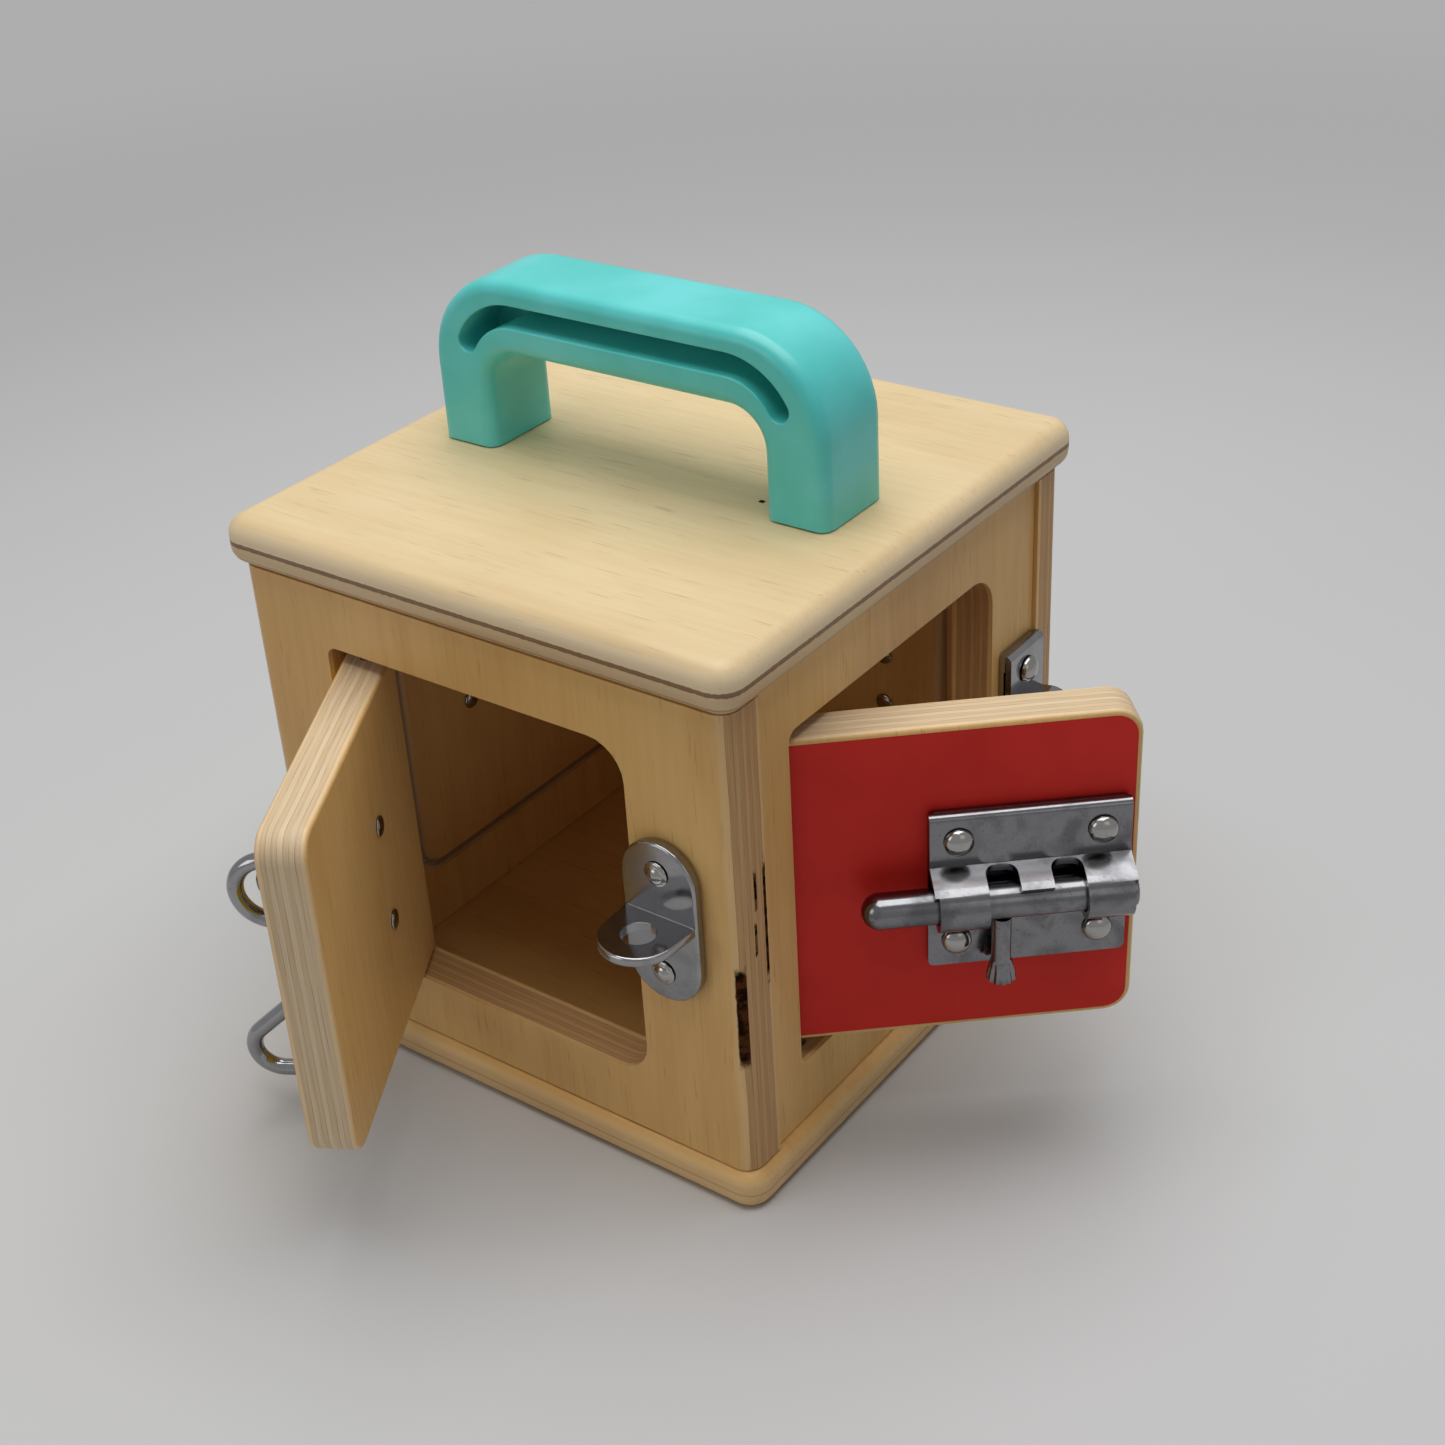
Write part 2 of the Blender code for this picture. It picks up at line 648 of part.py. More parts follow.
def add_handle():
    place = (0, 0, LID_TOP + GAP)
    half_depth = HANDLE_DEPTH / 2
    mesh = wall_solid("carry_handle", [handle_outline()], -half_depth, half_depth)
    bm = bmesh.new()
    bm.from_mesh(mesh)
    bmesh.ops.dissolve_limit(bm, angle_limit=math.radians(1), verts=bm.verts, edges=bm.edges)
    rims = []
    for edge in sharp_edges(bm):
        across = abs(edge.verts[0].co.y - edge.verts[1].co.y)
        height = max(vert.co.z for vert in edge.verts)
        if across < MERGE_DISTANCE and height > MERGE_DISTANCE:
            rims.append(edge)
    round_edges(bm, rims, HANDLE_EDGE_RADIUS, EASE_STEPS)
    bmesh.ops.recalc_face_normals(bm, faces=bm.faces)
    bm.to_mesh(mesh)
    bm.free()
    handle = piece("carry_handle", smooth(mesh), None, "teal_plastic", place)
    slot = wall_solid("handle_slot", [slot_outline()], half_depth - HANDLE_SLOT_DEPTH,
                      half_depth + OVERRUN)
    cut(handle, guide("handle_slot", slot, None, place))
    for side, name in ((-1, "left"), (1, "right")):
        x = side * HANDLE_SCREW_SPACING / 2
        drill(handle, f"handle_screw_hole_{name}", None, (x, 0, LID_TOP), (0, 0, 0),
              HANDLE_SCREW_RADIUS + GAP, -OVERRUN, HANDLE_SCREW_BITE + 2 * GAP)
        profile = dome(HANDLE_SCREW_HEAD_RADIUS, HANDLE_SCREW_HEAD, 0)
        length = LID_TOP + HANDLE_SCREW_BITE - HANDLE_SCREW_SEAT
        profile += [(HANDLE_SCREW_RADIUS, 0), (HANDLE_SCREW_RADIUS, HANDLE_SCREW_RADIUS - length),
                    (0, -length)]
        turned(f"handle_screw_{name}", profile, None, "steel", (x, 0, HANDLE_SCREW_SEAT), DOWNWARDS,
               PIN_STEPS)


def opening_left(side):
    return side["shift"] - OPENING_WIDTH / 2


def hinge_x(side):
    return opening_left(side) + HINGE_GAP + HINGE_SETBACK


def hinge_out(side):
    return side["face"] - HINGE_SETBACK


def door_bottom(side):
    return OPENING_BOTTOM + side["bottom_gap"]


def add_panel(side):
    """One wall: a plywood panel with its door opening and the bores of the hinge pins."""
    name = side["name"]
    base = side["empty"]
    covers_ends = side["turn"] % 2 == 0
    half_span = HALF_BODY if covers_ends else HALF_BODY - WALL_THICK - GAP
    outer = side["face"]
    inner = outer - WALL_THICK
    bm = box_cage((-half_span, -outer, WALL_LOW), (half_span, -inner, WALL_HIGH))
    if covers_ends:
        corners = [edge for edge in upright_edges(bm)
                   if edge.verts[0].co.y < -(outer + inner) / 2]
        round_edges(bm, corners, WALL_CORNER_RADIUS, CORNER_STEPS)
    panel = piece(f"{name}_panel", smooth(mesh_from(bm, f"{name}_panel")), base, "birch")
    left = opening_left(side)
    outline = closed_outline(
        rectangle(left, left + OPENING_WIDTH, OPENING_BOTTOM, OPENING_TOP),
        [OPENING_HINGE_RADIUS, OPENING_CORNER_RADIUS, OPENING_CORNER_RADIUS,
         OPENING_HINGE_RADIUS])
    opening = wall_solid(f"{name}_opening", [outline], inner - OVERRUN, outer + OVERRUN)
    cut(panel, guide(f"{name}_opening", opening, base))
    drill(panel, f"{name}_pin_bore", base, (hinge_x(side), -hinge_out(side), 0), (0, 0, 0),
          PIN_RADIUS + GAP, WALL_LOW - OVERRUN, WALL_HIGH + OVERRUN)
    return panel


def core_outline(side):
    low, high = door_bottom(side), DOOR_TOP
    edge = DOOR_FREE_EDGE
    return closed_outline(
        rectangle(-HINGE_SETBACK, edge, low, high),
        [DOOR_HINGE_CORNER_RADIUS, DOOR_CORNER_RADIUS, DOOR_CORNER_RADIUS,
         DOOR_HINGE_CORNER_RADIUS])


def sheet_outline(low, high, spread):
    """The coloured sheet's outline, or its pocket's with a spread all round."""
    hinge_corner, free_corner = FACE_HINGE_CORNER_RADIUS + spread, FACE_CORNER_RADIUS + spread
    return closed_outline(
        rectangle(FACE_HINGE_INSET - HINGE_SETBACK - spread, DOOR_FREE_EDGE - FACE_INSET + spread,
                  low + FACE_INSET - spread, high - FACE_INSET + spread),
        [hinge_corner, free_corner, free_corner, hinge_corner])


def eased(mesh, radius, steps):
    """Rounds every sharp edge of an outline solid."""
    bm = bmesh.new()
    bm.from_mesh(mesh)
    bmesh.ops.dissolve_limit(bm, angle_limit=math.radians(1), verts=bm.verts, edges=bm.edges)
    round_edges(bm, sharp_edges(bm), radius, steps)
    bmesh.ops.recalc_face_normals(bm, faces=bm.faces)
    bm.to_mesh(mesh)
    bm.free()
    return smooth(mesh)


def add_door(side):
    """A door core, its coloured sheet and its two hinge pins, under an empty on the hinge axis."""
    name = side["name"]
    base = side["empty"]
    low, high = door_bottom(side), DOOR_TOP
    edge = DOOR_FREE_EDGE
    hinge = empty(f"{name}_door_hinge", base, (hinge_x(side), -hinge_out(side), 0),
                  (0, 0, -side["open"]))
    mesh = wall_solid(f"{name}_door", [core_outline(side)], -DOOR_FACE, DOOR_FACE)
    core = piece(f"{name}_door", eased(mesh, DOOR_EDGE_EASE, EASE_STEPS), hinge, "birch")
    plan = closed_outline(
        rectangle(-HINGE_SETBACK, edge + OVERRUN, -DOOR_FACE, DOOR_FACE),
        [DOOR_HINGE_ROUNDING, 0, 0, DOOR_HINGE_ROUNDING])
    rounding = flat_solid(f"{name}_door_plan", [plan], low - OVERRUN, high + OVERRUN)
    combine(core, guide(f"{name}_door_plan", rounding, hinge), "INTERSECT")
    for end, inner, outer in (("bottom", low + PIN_IN_DOOR + GAP, low - OVERRUN),
                              ("top", high - PIN_IN_DOOR - GAP, high + OVERRUN)):
        drill(core, f"{name}_door_pin_hole_{end}", hinge, (0, 0, 0), (0, 0, 0),
              PIN_RADIUS + GAP, min(inner, outer), max(inner, outer))
    floor = DOOR_FACE - FACE_THICK
    pocket = wall_solid(f"{name}_door_pocket", [sheet_outline(low, high, GAP)], floor - GAP,
                        DOOR_FACE + OVERRUN)
    cut(core, guide(f"{name}_door_pocket", pocket, hinge))
    sheet = wall_solid(f"{name}_door_face", [sheet_outline(low, high, 0)], floor, DOOR_FACE)
    face = piece(f"{name}_door_face", sheet, hinge, side["sheet"])
    for end, start, stop in (("bottom", WALL_LOW, low + PIN_IN_DOOR),
                             ("top", high - PIN_IN_DOOR, WALL_HIGH)):
        profile = [(0, stop), (PIN_RADIUS - PIN_CHAMFER, stop), (PIN_RADIUS, stop - PIN_CHAMFER),
                   (PIN_RADIUS, start + PIN_CHAMFER), (PIN_RADIUS - PIN_CHAMFER, start),
                   (0, start)]
        turned(f"{name}_hinge_pin_{end}", profile, base, "steel",
               (hinge_x(side), -hinge_out(side), 0), (0, 0, 0), PIN_STEPS)
    side.update(hinge=hinge, core=core, sheet_piece=face)


def stepped_head():
    """Profile of a rivet head: a dome on a low ring."""
    profile = dome(RIVET_RING_RADIUS, RIVET_HEAD - RIVET_RING_HEIGHT, RIVET_RING_HEIGHT)
    return profile + [(RIVET_HEAD_RADIUS, RIVET_RING_HEIGHT / 2), (RIVET_HEAD_RADIUS, 0)]


def rivet(name, parent, x, z, face, depth, head):
    """A rivet through a wall or door: its head outside, a small tail inside."""
    profile = head + [(RIVET_RADIUS, 0), (RIVET_RADIUS, -depth), (RIVET_TAIL_RADIUS, -depth),
                      (RIVET_TAIL_RADIUS - RIVET_TAIL / 2, -depth - RIVET_TAIL),
                      (0, -depth - RIVET_TAIL)]
    turned(name, profile, parent, "chrome", (x, -face, z), OUTWARDS, PIN_STEPS)


def tab_outline():
    """The drilled tab seen from above: full width at the plate, round about the hole."""
    centre = Vector((0, GAP + BRACKET_THICK / 2 - TAB_HOLE_REACH))
    root = Vector((TAB_ROOT_WIDTH / 2, 0))
    to_root = root - centre
    lean = math.atan2(to_root.y, to_root.x) - math.acos(TAB_END_RADIUS / to_root.length)
    points = [root] + arc(centre, TAB_END_RADIUS, lean, -math.pi - lean, 3 * CORNER_STEPS)
    points.append(Vector((-TAB_ROOT_WIDTH / 2, 0)))
    return points


def add_bracket(name, parent, x, z, face, walls, depth, upright):
    """A stadium plate with a drilled tab above or below its middle, held by two rivets through
    the walls behind it."""
    inner = face + GAP
    outer = inner + BRACKET_THICK
    half_width, half_height = BRACKET_WIDTH / 2, BRACKET_HEIGHT / 2
    outline = closed_outline(rectangle(-half_width, half_width, -half_height, half_height),
                             [half_width] * 4)
    plate = eased(wall_solid(name, [outline], inner, outer), BRACKET_EDGE_RADIUS, EASE_STEPS)
    bracket = piece(name, plate, parent, "chrome", (x, 0, z))
    tab_low = TAB_RISE - TAB_THICK if upright else -TAB_RISE
    tab_high = tab_low + TAB_THICK
    tab = eased(flat_solid(f"{name}_tab", [tab_outline()], tab_low, tab_high),
                BRACKET_EDGE_RADIUS, EASE_STEPS)
    tab.transform(Matrix.Translation((0, -(inner + BRACKET_THICK / 2), 0)))
    join(bracket, guide(f"{name}_tab", tab, parent, (x, 0, z)))
    hole_y = -(face + TAB_HOLE_REACH)
    drill(bracket, f"{name}_tab_hole", parent, (x, hole_y, z), (0, 0, 0), TAB_HOLE_RADIUS,
          tab_low - OVERRUN, tab_high + OVERRUN, ROUND_STEPS)
    for end, side in (("upper", 1), ("lower", -1)):
        height = z + side * RIVET_PITCH / 2
        for index, wall in enumerate([bracket] + walls):
            drill(wall, f"{name}_rivet_hole_{end}_{index}", parent, (x, 0, height), OUTWARDS,
                  RIVET_RADIUS + GAP, face - depth - OVERRUN, outer + OVERRUN)
        rivet(f"{name}_rivet_{end}", parent, x, height, outer + GAP,
              BRACKET_THICK + depth + 3 * GAP, stepped_head())
    return bracket


def add_hook(side):
    """The cabin hook: its eye turns about the tab's hole, its shank lifts about the eye."""
    hinge = side["hinge"]
    hole_out = DOOR_FACE + TAB_HOLE_REACH
    turn = empty("hook_turn", hinge, (HOOK_BRACKET_T, -hole_out, HOOK_EYE_HEIGHT))
    eye_place = (0, -HOOK_EYE_OUT, -HOOK_EYE_DOWN)
    piece("hook_eye", ring_mesh("hook_eye", HOOK_WIRE_RADIUS), turn, "chrome", eye_place,
          RIGHTWARDS)
    lift = empty("hook_lift", turn, eye_place)
    start = math.sqrt(HOOK_EYE_RADIUS ** 2 - HOOK_SHANK_INSET ** 2)
    crook_out = HOOK_CROOK_REACH - HOOK_CROOK_RADIUS
    bend = arc((crook_out, HOOK_CROOK_RADIUS - HOOK_TIP_DROP), HOOK_CROOK_RADIUS,
               HOOK_CROOK_LEAN, -math.pi / 2, 2 * CORNER_STEPS)
    slope_rise = (bend[0].x + HOOK_SHANK_INSET) / math.tan(HOOK_CROOK_LEAN)
    upper = open_path([(-HOOK_SHANK_INSET, -start), (-HOOK_SHANK_INSET, bend[0].y + slope_rise),
                       bend[0]], [HOOK_BEND_RADIUS])
    route = without_doubles(upper + bend + [Vector((-HOOK_TIP_END, -HOOK_TIP_DROP))])
    data = bpy.data.curves.new("hook_shank", "CURVE")
    data.dimensions = "3D"
    data.bevel_depth = HOOK_WIRE_RADIUS
    data.bevel_resolution = 2
    data.use_fill_caps = True
    spline = data.splines.new("POLY")
    spline.points.add(len(route) - 1)
    for point, place in zip(spline.points, route):
        point.co = (0, -place.x, place.y, 1)
    shank = piece("hook_shank", smooth(curve_mesh(data, "hook_shank")), lift, "chrome")
    clearance = ring_mesh("hook_eye_clearance", HOOK_WIRE_RADIUS + GAP)
    cut(shank, guide("hook_eye_clearance", clearance, lift, (0, 0, 0), RIGHTWARDS))


def ring_mesh(name, wire_radius):
    """The hook's eye: a ring of round wire about Z."""
    bpy.ops.mesh.primitive_torus_add(major_segments=2 * ROUND_STEPS, minor_segments=12,
                                     major_radius=HOOK_EYE_RADIUS, minor_radius=wire_radius)
    holder = bpy.context.active_object
    mesh = holder.data
    mesh.name = name
    bpy.data.objects.remove(holder, do_unlink=True)
    return smooth(mesh)


def leaf_path(fold_angle, last_angle):
    """Middle line of the hemmed leaf, outward distance and height from the rod's axis: up the
    base plate, back down in front of it, out along the sloping shelf and round the rod."""
    base = GAP + BOLT_LEAF_THICK / 2
    on_plate = GAP + BOLT_PLATE_THICK + LEAF_HEM_GAP + BOLT_LEAF_THICK / 2
    hem = (on_plate - base) / 2
    top = BOLT_PLATE_HEIGHT - BOLT_ABOVE_PLATE_BOTTOM - BOLT_LEAF_THICK / 2 - hem
    to_plate = (BOLT_ROD_OUT - on_plate) * math.cos(fold_angle)
    fold = (KNUCKLE_MIDDLE_RADIUS + to_plate) / math.sin(fold_angle)
    path = [Vector((base, top - LEAF_HEM_TURN))]
    path += arc((base + hem, top), hem, math.pi, 0, CORNER_STEPS)
    path.append(Vector((on_plate, fold)))
    for step in range(round((fold_angle - last_angle) / LEAF_STEP_ANGLE) + 1):
        angle = fold_angle - step * LEAF_STEP_ANGLE
        across = Vector((math.cos(angle), math.sin(angle)))
        path.append(Vector((BOLT_ROD_OUT, 0)) + KNUCKLE_MIDDLE_RADIUS * across)
    return path


def hemmed_plate(name, parent, left, width, knuckles, fold_angle, shelf_end, face):
    """A latch plate whose front leaf is folded out and rolled into knuckles for the rod."""
    low = BOLT_PLATE_BOTTOM
    outline = closed_outline(rectangle(left, left + width, low, low + BOLT_PLATE_HEIGHT),
                             [BOLT_PLATE_CORNER] * 4, EASE_STEPS)
    base = wall_solid(name, [outline], face + GAP, face + GAP + BOLT_PLATE_THICK)
    plate = piece(name, base, parent, "chrome")
    place = (0, -face, BOLT_Z)
    half_leaf = BOLT_LEAF_THICK / 2
    shelf = profile_solid(f"{name}_shelf", band(leaf_path(fold_angle, shelf_end), half_leaf),
                          left, left + width)
    join(plate, guide(f"{name}_shelf", shelf, parent, place))
    for index, (start, stop) in enumerate(knuckles):
        path = leaf_path(fold_angle, -math.pi)
        loop = profile_solid(f"{name}_knuckle_{index}", band(path, half_leaf), start, stop)
        join(plate, guide(f"{name}_knuckle_{index}", loop, parent, place))
    return plate


def add_plate_screws(prefix, plate, parent, places, face, walls, sizes):
    """Domed screws with their holes through a plate and into what carries it."""
    head_radius, head, radius, bite, stack = sizes
    for number, (x, z) in enumerate(places, 1):
        for index, wall in enumerate([plate] + walls):
            drill(wall, f"{prefix}_hole_{number}_{index}", parent, (x, -face, z), OUTWARDS,
                  radius + GAP, -bite - OVERRUN, stack + OVERRUN)
        screw(f"{prefix}_{number}", parent, "chrome", (x, -face - stack - GAP, z),
              head_radius, head, radius, bite + stack)


def add_bolt(side):
    """The barrel bolt of the red door."""
    hinge = side["hinge"]
    walls = [side["sheet_piece"], side["core"]]
    left = BOLT_PLATE_LEFT
    after_notches = left + BOLT_NOTCH_LEFT + BOLT_TRAVEL + BOLT_NOTCH_WIDTH
    knuckles = [(left + KNUCKLE_INSET, left + BOLT_NOTCH_LEFT),
                (after_notches, left + BOLT_PLATE_WIDTH - KNUCKLE_INSET)]
    plate = hemmed_plate("bolt_plate", hinge, left, BOLT_PLATE_WIDTH, knuckles, LEAF_FOLD_ANGLE,
                         BOLT_TAB_ANGLE, DOOR_FACE)
    reach = DOOR_FACE + BOLT_NOTCH_REACH
    for index in range(2):
        start = left + BOLT_NOTCH_LEFT + index * BOLT_TRAVEL
        corner = BOLT_NOTCH_WIDTH / 3
        plan = closed_outline(
            rectangle(start, start + BOLT_NOTCH_WIDTH, -reach - DOOR_FACE - BOLT_ROD_OUT, -reach),
            [0, 0, corner, corner])
        notch = flat_solid(f"bolt_notch_{index}", [plan], 0, BOLT_PLATE_HEIGHT / 2)
        cut(plate, guide(f"bolt_notch_{index}", notch, hinge, (0, 0, BOLT_Z)))
    low = BOLT_PLATE_BOTTOM
    right = left + BOLT_PLATE_WIDTH
    places = []
    for x in (left + BOLT_SCREW_SIDE_INSET, right - BOLT_SCREW_SIDE_INSET):
        for z in (low + BOLT_SCREW_END_INSET, low + BOLT_PLATE_HEIGHT - BOLT_SCREW_END_INSET):
            places.append((x, z))
    thin = GAP + BOLT_PLATE_THICK
    thick = thin + LEAF_HEM_GAP + BOLT_LEAF_THICK
    for name, chosen, stack in (("bolt_screw_lower", places[0::2], thin),
                                ("bolt_screw_upper", places[1::2], thick)):
        add_plate_screws(name, plate, hinge, chosen, DOOR_FACE, walls,
                         (BOLT_SCREW_HEAD_RADIUS, BOLT_SCREW_HEAD, BOLT_SCREW_RADIUS,
                          BOLT_SCREW_BITE, stack))
    axis = (0, -DOOR_FACE - BOLT_ROD_OUT, BOLT_Z)
    slide = empty("bolt_slide", hinge, axis)
    head = BOLT_ROD_TAIL + BOLT_ROD_LENGTH
    tail = [(radius, BOLT_ROD_TAIL + BOLT_TAIL_DOME - height)
            for radius, height in dome(BOLT_ROD_RADIUS, BOLT_TAIL_DOME, 0)]
    profile = [(0, head), (BOLT_ROD_RADIUS - BOLT_ROD_CHAMFER, head),
               (BOLT_ROD_RADIUS, head - BOLT_ROD_CHAMFER)] + tail[::-1]
    turned("bolt_rod", profile, slide, "chrome", (0, 0, 0), RIGHTWARDS)
    turn = empty("bolt_turn", slide, (BOLT_KNOB_T, 0, 0))
    root = BOLT_ROD_RADIUS + GAP
    neck = BOLT_KNOB_LENGTH - BOLT_KNOB_FLARE
    ease = BOLT_KNOB_RADIUS / 4
    profile = [(0, BOLT_KNOB_LENGTH), (BOLT_KNOB_FLARE_RADIUS - ease, BOLT_KNOB_LENGTH),
               (BOLT_KNOB_FLARE_RADIUS, BOLT_KNOB_LENGTH - ease), (BOLT_KNOB_RADIUS, neck),
               (BOLT_KNOB_RADIUS, root), (0, root)]
    turned("bolt_knob", profile, turn, "chrome", (0, 0, 0), DOWNWARDS, PIN_STEPS)


def add_keeper(side, panel):
    """The bolt's keeper on the right wall."""
    base = side["empty"]
    face = side["face"]
    knuckle = KEEPER_LEFT + (KEEPER_WIDTH - KEEPER_KNUCKLE_WIDTH) / 2
    keeper = hemmed_plate("bolt_keeper", base, KEEPER_LEFT, KEEPER_WIDTH,
                          [(knuckle, knuckle + KEEPER_KNUCKLE_WIDTH)], KEEPER_FOLD_ANGLE,
                          KEEPER_SHELF_ANGLE, face)
    x = KEEPER_LEFT + KEEPER_WIDTH / 2
    low = BOLT_PLATE_BOTTOM
    thin = GAP + BOLT_PLATE_THICK
    thick = thin + LEAF_HEM_GAP + BOLT_LEAF_THICK
    for name, z, stack in (("keeper_screw_lower", low + BOLT_SCREW_END_INSET, thin),
                           ("keeper_screw_upper", low + BOLT_PLATE_HEIGHT - BOLT_SCREW_END_INSET,
                            thick)):
        add_plate_screws(name, keeper, base, [(x, z)], face, [panel],
                         (BOLT_SCREW_HEAD_RADIUS, BOLT_SCREW_HEAD, BOLT_SCREW_RADIUS,
                          BOLT_SCREW_BITE, stack))


def add_swing_bar(side, panel):
    """The left door's bar: it pivots on the door and drops into a keeper on the wall."""
    hinge = side["hinge"]
    washer_low = GAP
    bar_low = washer_low + BAR_WASHER_THICK + GAP
    bar_high = bar_low + BAR_THICK
    pivot = (BAR_PIVOT_T, -DOOR_FACE, BAR_PIVOT_Z)
    profile = [(BAR_HOLE_RADIUS, washer_low + BAR_WASHER_THICK),
               (BAR_WASHER_RADIUS, washer_low + BAR_WASHER_THICK),
               (BAR_WASHER_RADIUS, washer_low), (BAR_HOLE_RADIUS, washer_low),
               (BAR_HOLE_RADIUS, washer_low + BAR_WASHER_THICK)]
    turned("bar_washer", profile, hinge, "chrome", pivot, OUTWARDS)
    for index, wall in enumerate((side["sheet_piece"], side["core"])):
        drill(wall, f"bar_pivot_hole_{index}", hinge, pivot, OUTWARDS, RIVET_RADIUS + GAP,
              -DOOR_THICK - OVERRUN, bar_high)
    rivet("bar_pivot", hinge, BAR_PIVOT_T, BAR_PIVOT_Z, DOOR_FACE + bar_high + GAP,
          DOOR_THICK + bar_high + 2 * GAP, dome(BAR_PIVOT_HEAD_RADIUS, BAR_PIVOT_HEAD, 0))
    swing = empty("bar_swing", hinge, pivot)
    half = BAR_WIDTH / 2
    outline = closed_outline(rectangle(-half, half, -half, BAR_LENGTH + half), [half] * 4)
    hole = arc((0, 0), BAR_HOLE_RADIUS, 0, 2 * math.pi, PIN_STEPS)[:-1]
    bar = wall_solid("swing_bar", [outline, hole], bar_low, bar_high)
    piece("swing_bar", bar, swing, "chrome")
    base = side["empty"]
    face = side["face"]
    shelf = BAR_PIVOT_Z - half - GAP - BAR_KEEPER_THICK / 2
    lip_out = bar_high + 2 * GAP + BAR_KEEPER_THICK / 2
    on_wall = GAP + BAR_KEEPER_THICK / 2
    path = open_path([(on_wall, shelf), (lip_out, shelf), (lip_out, shelf + BAR_KEEPER_LIP)],
                     [BAR_KEEPER_BEND], EASE_STEPS)
    left, right = BAR_KEEPER_LEFT, BAR_KEEPER_LEFT + BAR_KEEPER_WIDTH
    high = BAR_PIVOT_Z + BAR_KEEPER_ABOVE_PIVOT
    low = high - BAR_KEEPER_HEIGHT
    outline = closed_outline(rectangle(left, right, low, high), [BOLT_PLATE_CORNER] * 4,
                             EASE_STEPS)
    plate = wall_solid("bar_keeper", [outline], face + GAP, face + GAP + BAR_KEEPER_THICK)
    keeper = piece("bar_keeper", plate, base, "chrome")
    hook = profile_solid("bar_keeper_hook", band(path, BAR_KEEPER_THICK / 2), left, right)
    join(keeper, guide("bar_keeper_hook", hook, base, (0, -face, 0)))
    x = (left + right) / 2
    lower = low + BAR_KEEPER_SCREW_INSET
    add_plate_screws("bar_keeper_screw", keeper, base,
                     [(x, lower), (x, lower + BAR_KEEPER_SCREW_PITCH)], face, [panel],
                     (SMALL_SCREW_HEAD_RADIUS, SMALL_SCREW_HEAD, SMALL_SCREW_RADIUS,
                      SMALL_SCREW_BITE, GAP + BAR_KEEPER_THICK))


def barrel(name, low, high):
    """A rolled knuckle about the hasp's pin."""
    bore = HASP_PIN_RADIUS + HASP_PIN_CLEARANCE
    ring = arc((0, 0), HASP_BARREL_RADIUS, 0, 2 * math.pi, PIN_STEPS)[:-1]
    hole = arc((0, 0), bore, 0, 2 * math.pi, PIN_STEPS)[:-1]
    return flat_solid(name, [ring, hole], low, high)


